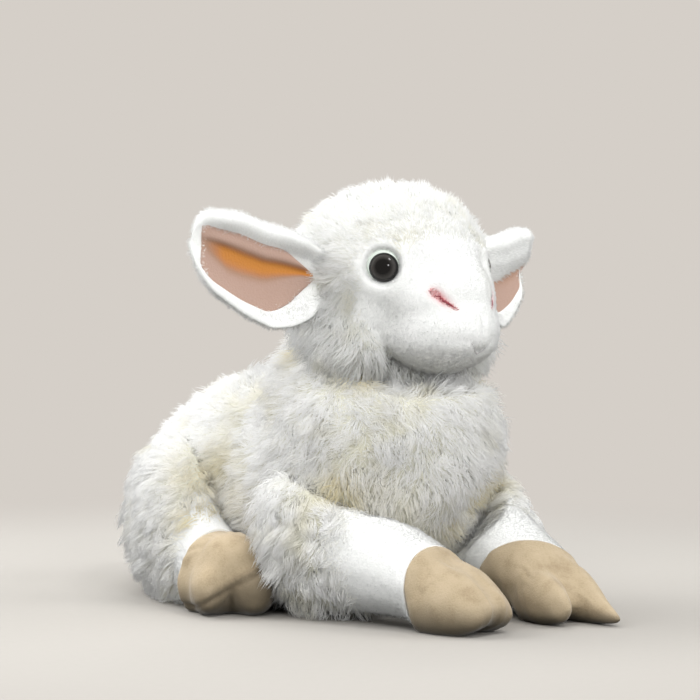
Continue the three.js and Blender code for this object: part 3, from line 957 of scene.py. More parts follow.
    def patch(self, name: str, material: bpy.types.Material, keep: Array, thick: float) -> bpy.types.Object:
        """Makes an object of the part of the skin whose points are kept, as cloth of a thickness.

        Args:
            name: the piece's name.
            material: its finish.
            keep: which points stay.
            thick: the cloth's thickness, inward, in mm.

        Returns:
            The object.
        """
        quads = self.quads[keep[self.quads].all(1)]
        used, quads = np.unique(quads, return_inverse=True)
        quads = quads.reshape(-1, 4)
        outer = self.points[used]
        inner = outer - self.normals()[used] * thick
        edges = np.stack([quads, np.roll(quads, -1, axis=1)], 2).reshape(-1, 2).tolist()
        keys = {tuple(edge) for edge in edges}
        rim = np.array([edge for edge in edges if (edge[1], edge[0]) not in keys])
        count = len(outer)
        walls = np.stack([rim[:, 1], rim[:, 0], rim[:, 0] + count, rim[:, 1] + count], 1)
        return shown(name, np.concatenate([outer, inner]), [quads, quads[:, ::-1] + count, walls], material)


@dataclass(frozen=True)
class Pile:
    """How a pile stands: sizes in mm."""

    length: float
    density: float  # strands on a square mm
    thick: float = 0.42  # of a strand at its foot
    lean: float = 0.6  # 0 stands up, 1 lies flat
    foot_share: float = 0.55  # of the lean, at a strand's foot
    droop: float = 0.35  # how far the tips turn down
    lock: float = 5.0  # between the middles of two locks
    gather: float = 0.7  # how far a lock's tips draw together
    tuft_share: float = 0.16  # of a lock's width, at its tips
    uneven: float = 0.22  # how much locks differ in length
    ragged: float = 0.35  # how much strands differ in length
    stray: float = 0.3  # how much a strand goes its own way
    swirl: float = 0.5  # how much the lie of the pile drifts
    swirl_mm: float = 30.0
    curl: float = 0.6  # of the swirl, how much more the pile drifts from lock to lock
    curl_locks: float = 1.6  # over how many locks that drift turns
    taper: float = 0.5  # how much thinner a strand gets up to its tip
    rings: int = 3  # of points along a strand, under its tip


def nearest(places: Array, middles: Array, chunk: int = 4096) -> Array:
    """Finds the nearest middle for each place.

    Args:
        places: the places.
        middles: what they are compared with.
        chunk: how many are done at once.

    Returns:
        The numbers of the middles.
    """
    found = np.zeros(len(places), int)
    for start in range(0, len(places), chunk):
        part = places[start : start + chunk]
        distance = (part**2).sum(1)[:, None] - 2 * part @ middles.T + (middles**2).sum(1)
        found[start : start + chunk] = distance.argmin(1)
    return found


@dataclass
class Coat:
    """Grows pile on a skin, in pieces that ride on one body."""

    material: bpy.types.Material
    body: str
    slot: str
    soft: float = 0.6  # how far a strand is shaded like the skin under it
    sides: int = 3  # of a strand
    made: list[bpy.types.Object] = field(default_factory=list)

    def grow(
        self,
        name: str,
        skin: Skin,
        pile: Pile,
        where: Array,
        comb: Field,
        seed: Seed,
        lengths: Field | None = None,
        crease_shade: Field | None = None,
    ) -> None:
        """Grows one area.

        Args:
            name: the first part of the pieces' names.
            skin: what it grows on.
            pile: how it stands.
            where: how dense it is at each point of the skin, from 0 to 1.
            comb: the way it is brushed at a place.
            seed: picks the strands.
            lengths: a share of the pile's length at a place.
            crease_shade: how much yellow painted shade the pile gets at a place, from 0 to 1.
        """
        rng = np.random.default_rng(seed)
        roots, facing = skin.spread(pile.density, where, rng)
        reach = pile.length * rng.uniform(1 - pile.ragged, 1 + pile.ragged / 2, len(roots))
        if lengths is not None:
            reach *= lengths(roots)
        paths = self.paths(roots, facing, reach, pile, comb, rng, seed)
        tints = rng.uniform(0, PLAIN_TINT, len(roots))
        # Painted shade: strands in the creases turn yellow.
        if crease_shade is not None:
            yellow_shade = crease_shade(roots) * rng.uniform(0.5, 1, len(roots))
            tints = np.maximum(tints, PLAIN_TINT + (1 - PLAIN_TINT) * yellow_shade)
        from_front = np.argsort(roots[:, 1] + 0.3 * roots[:, 2])
        strand_faces = self.sides * (2 * pile.rings - 1)
        parts = np.array_split(from_front, math.ceil(len(roots) * strand_faces / PIECE_FACES))
        for number, part in enumerate(parts):
            label = name if len(parts) == 1 else f"{name}_{number + 1}"
            self.strands(label, paths[part], facing[part], tints[part], pile)

    @staticmethod
    def paths(
        roots: Array,
        facing: Array,
        reach: Array,
        pile: Pile,
        comb: Field,
        rng: np.random.Generator,
        seed: Seed,
    ) -> Array:
        """The line of each strand.

        Args:
            roots: where they stand.
            facing: the way the skin faces there.
            reach: their lengths.
            pile: how they stand.
            comb: the way they are brushed.
            rng: the random numbers.
            seed: picks the swirls.

        Returns:
            Strands by places along each by three.
        """
        lie = comb(roots) + drift(roots, pile.swirl_mm, seed) * pile.swirl
        lie += drift(roots, pile.lock * pile.curl_locks, seed + 1) * pile.swirl * pile.curl
        lie = unit(lie - facing * (lie * facing).sum(1, keepdims=True))
        wander = rng.normal(size=roots.shape) * pile.stray
        foot_lean = pile.lean * pile.foot_share
        first = unit(facing * (1 - foot_lean) + lie * foot_lean + wander * 0.5)
        last = unit(facing * (1 - pile.lean) + lie * pile.lean + wander + np.array([0, 0, -pile.droop]))
        share = np.linspace(0, 1, pile.rings + 1)[None, :, None]
        bend = share * first[:, None] + (last - first)[:, None] * share**2 / 2
        lines = roots[:, None] + reach[:, None, None] * bend
        locks = max(1, round(len(roots) / (pile.density * pile.lock**2)))
        middles = rng.choice(len(roots), locks, replace=False)
        lock = middles[nearest(roots, roots[middles])]
        longer = rng.uniform(1 - pile.uneven, 1 + pile.uneven, len(roots))[lock, None, None]
        lines = roots[:, None] + (lines - roots[:, None]) * longer
        target = lines[lock] + pile.tuft_share * (roots - roots[lock])[:, None]
        lines += (target - lines) * pile.gather * share**1.4 * rng.uniform(0.6, 1.0, (len(roots), 1, 1))
        lines[:, :, 2] = np.maximum(lines[:, :, 2], FLOOR_CLEAR)
        return lines

    def strands(self, name: str, paths: Array, facing: Array, tints: Array, pile: Pile) -> None:
        """Makes one piece of strands that taper to a point.

        Args:
            name: the piece's name.
            paths: the strands' lines.
            facing: the way the skin faces at each; it softens the strands' own shading.
            tints: a number from 0 to 1 for each.
            pile: how thick they are.
        """
        count, rings, sides = len(paths), pile.rings, self.sides
        along = unit(np.diff(paths, axis=1))
        no_strand = np.array([0.31, 0.52, 0.8])  # a direction that no strand runs in
        side = unit(np.cross(along, no_strand))
        over = np.cross(along, side)
        heights = np.arange(rings) / rings
        radius = (pile.thick / 2 * (1 - pile.taper * heights))[None, :, None, None]
        angles = (np.arange(sides) * 2 * math.pi / sides)[:, None]
        turn = np.cos(angles) * side[:, :, None] + np.sin(angles) * over[:, :, None]
        rows = (paths[:, :rings, None] + turn * radius).reshape(count, rings * sides, 3)
        points = np.concatenate([rows, paths[:, rings:]], 1)
        per = rings * sides + 1
        base = (np.arange(count) * per)[:, None, None]
        corner = np.arange(sides)
        tip = np.stack([corner, (corner + 1) % sides, np.full(sides, sides)], 1) + sides * (rings - 1)
        quads = (base + bands(sides, rings)).reshape(-1, 4)
        tips = (base + tip).reshape(-1, 3)
        piece = shown(name, points.reshape(-1, 3), [quads, tips], self.material)
        heights = np.append(np.repeat(heights, sides), 1.0)
        uv = np.stack([np.repeat(tints, per), np.tile(heights, count)], 1)
        loops = np.concatenate([quads.ravel(), tips.ravel()])
        layer = piece.data.uv_layers.new(name=BAKE_MAP)
        layer.data.foreach_set("uv", uv[loops].astype(np.float32).ravel())
        around = np.concatenate([turn.reshape(count, rings * sides, 3), along[:, -1:]], 1)
        shading = unit(around * (1 - self.soft) + facing[:, None] * self.soft)
        piece.data.normals_split_custom_set_from_vertices(shading.reshape(-1, 3))
        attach(piece, self.body)
        self.made.append(piece)


def dress(
    piece: bpy.types.Object, body: str, nodes: Sequence[str] = ()
) -> bpy.types.Object:
    """Ties a piece to its body and hides the CAD nodes it stands for.

    Args:
        piece: the object.
        body: the body it rides on.
        nodes: what it replaces.

    Returns:
        The same object.
    """
    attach(piece, body)
    if nodes:
        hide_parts(*nodes)
    return piece


# Where the pile lies in a crease between two stuffed parts and gets yellow painted shade: X as a distance
# from the middle plane, Y, Z and a reach, in mm.
CREASES = (
    (45.0, -92.0, 59.0, 9.0),
    (30.0, -96.0, 60.0, 10.0),
    (19.0, -101.0, 53.0, 10.0),
    (5.0, -101.0, 42.0, 9.0),
    (62.0, -13.0, 64.0, 12.0),
    (66.0, -30.0, 52.0, 12.0),
    (68.0, -21.0, 42.0, 12.0),
    (45.0, -58.0, 122.0, 8.0),
    (34.0, -90.0, 108.0, 8.0),
)


def painted_crease_shade(places: Array) -> Array:
    """How much yellow painted shade the pile gets in the creases at a place, from 0 to 1."""
    folded = np.column_stack([np.abs(places[:, 0]), places[:, 1:]])
    return np.max([swell(folded, row[:3], (row[3],) * 3) for row in CREASES], axis=0)


@dataclass
class Toy:
    """What every sub-assembly works with."""

    nodes: dict[str, bpy.types.Object]
    finishes: Finishes

    def solids(self, *names: str) -> list[Solid]:
        """The points and triangles of CAD nodes."""
        return [node_mesh(self.nodes[name]) for name in names]

    def stuffing(self, name: str, body: str, growth: float = -0.6) -> None:
        """Replaces a CAD filling by a smooth mass of fibre, a little inside its cover.

        Args:
            name: the filling's node.
            body: the body it rides on.
            growth: how far it moves out.
        """
        skin = Skin.wrap(self.solids(name), voxel=3.0, rounds=12, growth=growth)
        self.settle(skin)
        piece = skin.piece(name.replace("filling", "stuffing"), self.finishes.fibre)
        dress(piece, body, [name])

    def settle(self, skin: Skin) -> None:
        """Moves a filling as its cover is moved; plainly it stays."""


@dataclass
class Trunk(Toy):
    """The trunk and chest: one stuffed skin under long pile, a belly panel and the neck's ball."""

    inset: float = 1.6  # how far the skin lies inside its solid: the pile stands proud of it
    lumps: float = 1.1  # how uneven the stuffing is
    lump_mm: float = 34.0
    neck_inset: float = 2.5
    stuffing_inset: float = 4.0
    bare_to: float = 3.0  # no pile grows under this height
    full_over: float = 6.0  # and it is full this much over it
    chest_from: float = -60.0  # the pile is combed down ahead of this place on Y
    chest_over: float = 40.0  # and fully so this far ahead of it
    # The chest's left side, its foot where the left foreleg lies against it, and the hollows under the jowls.
    presses: tuple[Press, ...] = (
        ((48, -106, 88), (34, 34, 42), 2.8),
        ((44, -92, 118), (26, 30, 22), 2.0),
        ((28, -120, 44), (24, 28, 22), 7.5),
        ((38, -92, 110), (20, 22, 16), 4.0),
        ((-38, -92, 110), (20, 22, 16), 5.0),
    )
    # Where the pile is shorter, by a share of its length.
    shorn: tuple[Press, ...] = (
        ((28, -120, 42), (26, 30, 22), 0.45),
        ((-36, -92, 112), (22, 24, 14), 0.5),
        ((36, -92, 112), (22, 24, 14), 0.5),
    )

    def build(self) -> None:
        """Makes the skin, its pile, the belly and the neck."""
        solids = self.solids("body_cover", "belly_panel", "body_filling")
        skin = Skin.wrap(solids, voxel=3.0, rounds=14, growth=-self.inset)
        skin.push(drift(skin.points, self.lump_mm, Seed.TRUNK_LUMPS)[:, 0] * self.lumps)
        self.settle(skin)
        skin.stand()
        dress(skin.piece("trunk_skin", self.finishes.backing), "body", ["body_cover"])
        self.pile(skin)
        belly = Skin.wrap(self.solids("belly_panel"), voxel=1.4, rounds=3)
        dress(belly.piece("belly_patch", self.finishes.plush), "body", ["belly_panel"])
        self.stuffing("body_filling", "body", growth=-self.stuffing_inset)
        self.neck()

    def settle(self, skin: Skin) -> None:
        """Presses the chest in."""
        for centre, radii, depth in self.presses:
            skin.push(-swell(skin.points, centre, radii) * depth)

    def pile(self, skin: Skin) -> None:
        """Grows the trunk's long pile, but none underneath.

        Args:
            skin: the trunk's skin.
        """
        overhang = 1 + skin.normals()[:, 2] * 1.1
        over_floor = np.clip((skin.points[:, 2] - self.bare_to) / self.full_over, 0, 1)
        bare_under = over_floor * np.clip(overhang, 0, 1)
        coat = Coat(self.finishes.fur, "body", "fur")
        pile = Pile(11, 1.35, lean=0.66, gather=0.62, stray=0.38, swirl=0.8, ragged=0.5)
        coat.grow(
            "trunk_fur", skin, pile, bare_under, self.comb, Seed.TRUNK_FUR, self.lengths, painted_crease_shade
        )

    def comb(self, places: Array) -> Array:
        """Down the chest, and back and down the flanks.

        Args:
            places: where the pile stands.

        Returns:
            The way that it is brushed there.
        """
        front = np.clip((self.chest_from - places[:, 1]) / self.chest_over, 0, 1)[:, None]
        back = np.array([0, 0.75, -0.5])
        chest = np.array([0, -0.1, -1.0])
        return back * (1 - front) + chest * front

    def lengths(self, places: Array) -> Array:
        """Longest on the chest, shortest on the rump and by the floor.

        Args:
            places: where the pile stands.

        Returns:
            Shares of the pile's length.
        """
        share = np.interp(places[:, 2], [4, 26], [0.6, 1.0])
        for centre, radii, shorter in self.shorn:
            share *= 1 - shorter * swell(places, centre, radii)
        return share * np.interp(places[:, 1], [-125, -60, -20, 98], [1.15, 1.05, 0.75, 0.66])

    def neck(self) -> None:
        """Makes the neck's ball and the pile that closes the crease under the head."""
        skin = Skin.wrap(self.solids("neck_filling"), voxel=2.0, rounds=4, growth=-self.neck_inset)
        dress(skin.piece("neck_stuffing", self.finishes.fibre), "neck", ["neck_filling"])
        centre = skin.points.mean(0)
        ring = np.clip(2 - np.abs(skin.points[:, 2] - centre[2]) / 10, 0, 1)
        source = centre + np.array([0, 0, 18])  # the pile fans out and down from over the ball's middle
        pile = Pile(8, 1.8, lean=0.5)
        coat = Coat(self.finishes.fur, "neck", "fur")
        coat.grow("neck_fur", skin, pile, ring, lambda places: places - source, Seed.NECK_FUR)


@dataclass
class Head(Toy):
    """The head: a sculpted skin with a short-plush face, a long-pile cap, eyes, nostrils and mouth."""

    skull: Triple = (0.0, -74.0, 153.0)
    skull_radii: Triple = (44.0, 46.0, 39.5)
    muzzle: Triple = (0.0, -104.5, 128.5)
    muzzle_radii: Triple = (28.0, 28.5, 21.5)
    cheeks: Triple = (0.0, -100.7, 143.5)
    cheek_radii: Triple = (31.0, 27.5, 22.0)
    # The stuffing of cheeks, jowls and throat on each side: its middle, its half sizes and a shift along X.
    pads: tuple[tuple[Triple, Triple, float], ...] = (
        ((24.0, -84.0, 140.0), (17.0, 20.0, 19.0), 0.0),
        ((26.0, -76.0, 131.5), (20.0, 21.0, 20.5), 0.0),
        ((30.0, -83.0, 122.0), (15.0, 15.0, 16.5), -1.0),
    )
    pitch: float = 25.0  # degrees that the face looks down
    face_start: float = 20.0  # ahead of the skull's middle
    face_wide: float = 42.5
    face_tall: float = 35.5
    edge: float = 0.8  # how far the cap's edge wanders over the face
    edge_mm: float = 12.0
    cloth: float = 1.6
    face_under: float = 3.0  # how far the face's cloth runs under the cap's
    cap_over: float = 1.0  # how far the cap's cloth runs over the face's
    cap_inset: float = 0.35  # of the cap's cloth under the face's
    stuffing_gap: float = 1.2
    bridge: float = 11.0  # how far the nose's bridge reaches to each side
    bridge_rise: float = 3.0
    hollow_at: float = 19.0  # of the hollow between bridge and eye, from the middle
    hollow: float = 5.0
    hollow_depth: float = 1.2
    eye_shift: Triple = (0.6, 0.4, 1.4)  # outward, back and up
    eye_sink: float = 2.1
    lid_radius: float = 13.5  # of the short plush round an eye
    moat: float = 11.2  # the radius at which the plush swells round an eye
    moat_width: float = 4.4
    moat_rise: float = 1.1
    pit: tuple[float, float] = (6.9, 8.9)  # the radii between which the pit for the eye's backing ends
    pit_depth: float = 0.9  # under the seat
    eye_bare: tuple[float, float] = (6.8, 8.2)  # the radii between which the plush's pile starts
    eye_radius: float = 6.7
    eye_dome: float = 4.3
    stem_radius: float = 2.0
    stem_length: float = 10.0
    rim_radius: float = 7.2
    rim_shift: float = 0.95  # of the pale rim, up and away from the nose; its crescent over the dome is partly a painted reflection
    nose: Triple = (14.2, -123.4, 142.0)
    nose_slant: Triple = (0.80, 0.30, 0.73)  # the slit's direction, up and out
    nose_half: float = 8.6
    nose_depth: float = 1.6
    slit_bare: float = 0.85  # how much of the plush's pile is left out over the slit
    satin_half: float = 1.65  # of the longest stitch across the slit
    satin_count: int = 30
    satin_lift: float = 0.15  # over the skin
    line_ends: tuple[float, float] = (-6.4, 5.2)  # of the darker line, along the slit
    line_points: int = 19
    line_radius: float = 0.6
    line_lift: float = 0.3
    lip_line: tuple[tuple[float, float], ...] = ((0, 118.5), (2, 119.6), (6, 124.0), (12, 124.8), (22, 124.2))
    chin_from: float = 122.0  # the chin is drawn up below this
    chin_share: float = 0.24
    mouth_half: float = 6.5
    mouth_thread: float = 0.4
    mouth_points: int = 35

    def build(self) -> None:
        """Makes everything that turns with the head."""
        solids = [ball(self.skull, self.skull_radii, 48), ball(self.muzzle, self.muzzle_radii, 40)]
        for side in Side:
            for (out, y, z), radii, shift in self.pads:
                solids.append(ball((side.sign * out + shift, y, z), radii, 32))
        skin = Skin.wrap([*solids, ball(self.cheeks, self.cheek_radii, 40)], voxel=1.25, rounds=26)
        self.sculpt(skin)
        inside = self.face_depth(skin.points)
        face = skin.patch("face_plush", self.finishes.plush, inside > -self.face_under, self.cloth)
        painted(face, "blush", self.blush(places_of(face.data)))
        dress(face, "head", ["face_panel", "chin_panel"])
        cap = Skin(skin.points.copy(), skin.quads)
        cap.push(-self.cap_inset)
        cap_cloth = cap.patch("head_skin", self.finishes.plush, inside < self.cap_over, self.cloth)
        dress(cap_cloth, "head", ["head_cover"])
        fibre = Skin(skin.points.copy(), skin.quads)
        fibre.push(-self.cloth - self.stuffing_gap)
        fibre.smooth(6)
        dress(fibre.piece("head_stuffing", self.finishes.fibre), "head", ["head_filling"])
        self.pile(skin, inside)
        for side in Side:
            self.eye(side)
            self.nostril(skin, side)
        self.mouth(skin)

    def face_ahead(self) -> Array:
        """The way that the face looks."""
        return np.array([0, -math.cos(math.radians(self.pitch)), -math.sin(math.radians(self.pitch))])

    def face_depth(self, points: Array) -> Array:
        """How far inside the short-plush face places are.

        Args:
            points: the places.

        Returns:
            The depths in mm; less than 0 is under the cap.
        """
        away = points - np.array(self.skull)
        forward = self.face_ahead()
        ahead = away @ forward
        upright = away @ np.array([0, forward[2], -forward[1]])
        wide = self.face_wide * np.interp(upright, [-20.0, -11.0, -3.0], [0.76, 0.9, 1.0])
        ring = np.sqrt((away[:, 0] / wide) ** 2 + (upright / self.face_tall) ** 2)
        edge = drift(points, self.edge_mm, Seed.FACE_EDGE)[:, 0] * self.edge
        depth = np.minimum(ahead - self.face_start, (1 - ring) * self.face_tall) + edge
        for side in Side:
            seat, _ = self.eye_seat(side)
            depth = np.maximum(depth, self.lid_radius - np.linalg.norm(points - seat, axis=1))
        return depth

    def eye_seat(self, side: Side) -> tuple[Array, Array]:
        """The middle of an eye's backing disc and the way that it faces.

        Args:
            side: which eye.

        Returns:
            The place in mm and the direction.
        """
        points, _ = node_mesh(self.nodes[f"eye_backing_{side.value}"])
        middle = (points.min(0) + points.max(0)) / 2
        facing = np.linalg.svd(points - points.mean(0), full_matrices=False)[2][2]
        facing = facing * np.sign(facing @ (middle - np.array(self.skull)))
        shift = np.array(self.eye_shift) * np.array([side.sign, 1, 1])
        return middle + shift - facing * self.eye_sink, facing

    def rim_offset(self, side: Side, facing: Array) -> Array:
        """How far the pale rim is off the eye's middle."""
        up = unit(np.array([side.sign * 0.45, 0.3, 1.0]))
        return unit(up - (up @ facing) * facing) * self.rim_shift

    def nostril_seat(self, side: Side) -> tuple[Array, Array]:
        """The middle of a nostril and its long direction, up and out."""
        mirror = np.array([side.sign, 1, 1])
        return np.array(self.nose) * mirror, unit(np.array(self.nose_slant) * mirror)

    def lip(self, x: Array) -> Array:
        """The height of the crease between the lips at a distance from the middle."""
        return np.interp(np.abs(x), *zip(*self.lip_line))

    def slits(self, points: Array, width: float) -> Array:
        """1 on the lines of both nostrils, fading across them within a width."""
        return sum(self.slit(points, side, width) for side in Side)

    def slit(self, points: Array, side: Side, width: float) -> Array:
        """1 on the line of a nostril, fading across it within a width.

        Args:
            points: the places.
            side: which nostril.
            width: how far it fades.

        Returns:
            A share for each place.
        """
        middle, long = self.nostril_seat(side)
        away = points - middle
        ends = fade(np.abs(away @ long), self.nose_half - 3, self.nose_half + 1.5)
        return hump(off_axis(away, long), width) * ends

    def sculpt(self, skin: Skin) -> None:
        """Raises the bridge and the chin, seats the eyes and presses in the nostrils and the mouth.

        Args:
            skin: the head's skin.
        """
        x, y, z = skin.points.T
        line = np.interp(z, [134, 146, 160, 176], [0.7, 1.0, 0.9, 0.0]) * (y < -90)
        beside = np.interp(z, [140, 148, 160, 168], [0, 1, 1, 0]) * (y < -90)
        hollow = hump(np.abs(x) - self.hollow_at, self.hollow) * beside
        skin.push(hump(x, self.bridge) * line * self.bridge_rise - hollow * self.hollow_depth)
        for side in Side:
            self.seat_eye(skin, side)
        chin = np.maximum(self.chin_from - skin.points[:, 2], 0) * smoothstep(-skin.points[:, 1], 72, 96)
        skin.points[:, 2] += chin * self.chin_share
        skin.smooth(2)
        x, y, z = skin.points.T
        crease = hump(z - self.lip(x), 2.0) * fade(np.abs(x), 13, 21) * (y < -100)
        philtrum = hump(x, 1.6) * smoothstep(z, 118, 121) * fade(z, 132, 140) * (y < -110)
        mouth = crease * np.interp(np.abs(x), [0, 6, 10], [0.9, 0.45, 0.25]) + philtrum * 0.6
        skin.push(-(self.slits(skin.points, 1.9) * self.nose_depth + mouth))

    def seat_eye(self, skin: Skin, side: Side) -> None:
        """Swells the plush round an eye and sinks a flat pit for the eye's backing.

        Args:
            skin: the head's skin.
            side: which eye.
        """
        seat, facing = self.eye_seat(side)
        away = skin.points - seat
        near = fade(np.linalg.norm(away, axis=1), 18, 26)
        skin.push(hump(off_axis(away, facing) - self.moat, self.moat_width) * near * self.moat_rise)
        apart = off_axis(away - self.rim_offset(side, facing) * 0.6, facing)
        level = (skin.points - seat) @ facing + self.pit_depth
        skin.points -= facing * (fade(apart, *self.pit) * near * np.maximum(level, 0))[:, None]

    def blush(self, points: Array) -> Array:
        """How pink the plush is round the nostrils."""
        return np.clip(self.slits(points, 2.3), 0, 1) * 0.8

    def comb(self, places: Array) -> Array:
        """Away from the face, and down on the cheeks.

        Args:
            places: where the pile stands.

        Returns:
            The way that it is brushed there.
        """
        ahead = self.face_ahead()
        away = places - np.array(self.skull)
        outward = unit(away - (away @ ahead)[:, None] * ahead)
        low = fade(places[:, 2], 140, 160)[:, None]
        down = outward * 1.3 + ahead * 0.6 + np.array([0, 0, -0.7])
        return (outward * 0.7 - ahead * 0.9) * (1 - low) + down * low

    def pile(self, skin: Skin, inside: Array) -> None:
        """Grows the cap's long pile and the face's short one.

        Args:
            skin: the head's skin.
            inside: how far inside the face each of its points is.
        """
        cap = Coat(self.finishes.fur, "head", "fur", 0.7)
        long = Pile(10, 1.7, lean=0.55, lock=4.4, thick=0.38, droop=0.2, stray=0.36, gather=0.66)
        where = fade(inside, -1.0, 3.5)
        cap.grow("head_fur", skin, long, where, self.comb, Seed.HEAD_FUR, self.lengths)
        face = Coat(self.finishes.plush_pile, "head", "short_plush", 1.0)
        short = Pile(1.4, 3.0, thick=0.24, lean=0.76, lock=2.2, gather=0.1, ragged=0.4, rings=2, swirl=0.3)
        where = smoothstep(inside, -2.0, 0.0)
        for side in Side:
            seat, _ = self.eye_seat(side)
            where *= smoothstep(np.linalg.norm(skin.points - seat, axis=1), *self.eye_bare)
            where *= 1 - self.slit_bare * self.slit(skin.points, side, 1.3)
        face.grow("face_pile", skin, short, where, self.comb, Seed.FACE_PILE)
        for piece in face.made:
            painted(piece, "blush", self.blush(places_of(piece.data)))

    def lengths(self, places: Array) -> Array:
        """Short by the face and on the crown, longer on the cheeks and under the head.

        Args:
            places: where the pile stands.

        Returns:
            Shares of the pile's length.
        """
        under_cap = -self.face_depth(places)
        low = np.interp(places[:, 2], [112, 134, 152, 190], [1.4, 1.6, 1.1, 0.72])
        short = np.interp(under_cap, [-3.5, 0, 9], [0.22, 0.45, 1.0])
        shaggy = np.interp(under_cap, [-3.5, 0, 4], [0.25, 0.6, 1.0])
        cheek = fade(places[:, 2], 138, 152)
        return low * (short * (1 - cheek) + shaggy * cheek)

    def eye(self, side: Side) -> None:
        """Makes an eye with its stem, and the pale rim behind it.

        Args:
            side: which eye.
        """
        seat, facing = self.eye_seat(side)
        radius, dome, stem = self.eye_radius, self.eye_dome, self.stem_radius
        arc = np.linspace(math.pi / 2, 0, 14)[1:]
        front = [(ON_AXIS, dome), *((radius * math.cos(a), dome * math.sin(a)) for a in arc)]
        back = [(radius - 0.25, -0.35), (stem, -0.5), (stem - 0.05, 0.5 - self.stem_length)]
        points, quads = lathe(seat + facing * 0.5, facing, [*front, *back, (ON_AXIS, -self.stem_length)])
        eye = shown(f"eye_ball_{side.value}", points, [quads], self.finishes.eye)
        painted(eye, "reach", off_axis(points - seat, facing) / radius)
        dress(eye, "head", [f"eye_{side.value}"])
        # The pale backing shows as a crescent above the dome where the dome mirrors bright surroundings: a
        # real disc, and in its crescent a painted reflection.
        r = self.rim_radius
        rim = [(ON_AXIS, 1.5), (r - 1.6, 1.5), (r - 0.6, 1.2), (r, 0.5), (r - 0.3, -0.3), (ON_AXIS, -0.4)]
        points, quads = lathe(seat + self.rim_offset(side, facing) - facing * 0.1, facing, rim)
        disc = shown(f"eye_rim_{side.value}", points, [quads], self.finishes.eye_rim)
        dress(disc, "head", [f"eye_backing_{side.value}"])
        washer = self.nodes[f"eye_washer_{side.value}"]
        washer.data.materials.clear()
        washer.data.materials.append(self.finishes.washer)

    @staticmethod
    def on_skin(skin: Skin, places: Array, lift: float) -> Array:
        """Moves places to the nearest points of the skin and out by a lift."""
        found = np.array([np.linalg.norm(skin.points - place, axis=1).argmin() for place in places])
        return skin.points[found] + skin.normals()[found] * lift

    def nostril(self, skin: Skin, side: Side) -> None:
        """Stitches a nostril: satin stitches across the slit and a darker line down its middle.

        Args:
            skin: the head's skin.
            side: which nostril.
        """
        middle, long = self.nostril_seat(side)
        across = unit(np.cross(long, unit(middle - np.array(self.cheeks))))
        reach = self.nose_half - 0.8
        stitches = []
        for place in np.linspace(-reach, reach, self.satin_count):
            half = self.satin_half * math.sqrt(1 - (place / self.nose_half) ** 2)
            row = middle + long * place + across * np.linspace(-half, half, 5)[:, None]
            path = self.on_skin(skin, row, self.satin_lift)
            stitches.append(tube(path, np.array([0.05, 0.3, 0.34, 0.3, 0.05]), sides=5))
        points, quads = merged(stitches)
        satin = shown(f"nostril_satin_{side.value}", points, [quads], self.finishes.pink)
        dress(satin, "head", [f"nostril_{side.value}"])
        row = middle + long * np.linspace(*self.line_ends, self.line_points)[:, None]
        round_ends = np.sqrt(1 - np.linspace(-0.98, 0.98, self.line_points) ** 2)
        path = self.on_skin(skin, row, self.line_lift)
        points, quads = tube(path, self.line_radius * round_ends, sides=6)
        dress(shown(f"nostril_line_{side.value}", points, [quads], self.finishes.wine), "head")

    def mouth(self, skin: Skin) -> None:
        """Lays the mouth's thread in the crease between the lips.

        Args:
            skin: the head's skin.
        """
        x = np.linspace(-self.mouth_half, self.mouth_half, self.mouth_points)
        row = np.stack([x, self.lip(x)], 1)
        front = skin.points[skin.points[:, 1] < -110]
        found = np.array([np.abs(front[:, [0, 2]] - place).sum(1).argmin() for place in row])
        path = front[found] + np.array([0, 0.1, 0])
        for _ in range(3):
            path[1:-1] = (path[:-2] + path[1:-1] + path[2:]) / 3
        round_ends = np.sqrt(1.02 - np.linspace(-1, 1, self.mouth_points) ** 2)
        points, quads = tube(path, self.mouth_thread * round_ends, sides=6)
        dress(shown("mouth_thread", points, [quads], self.finishes.seam), "head", ["mouth_stitch"])


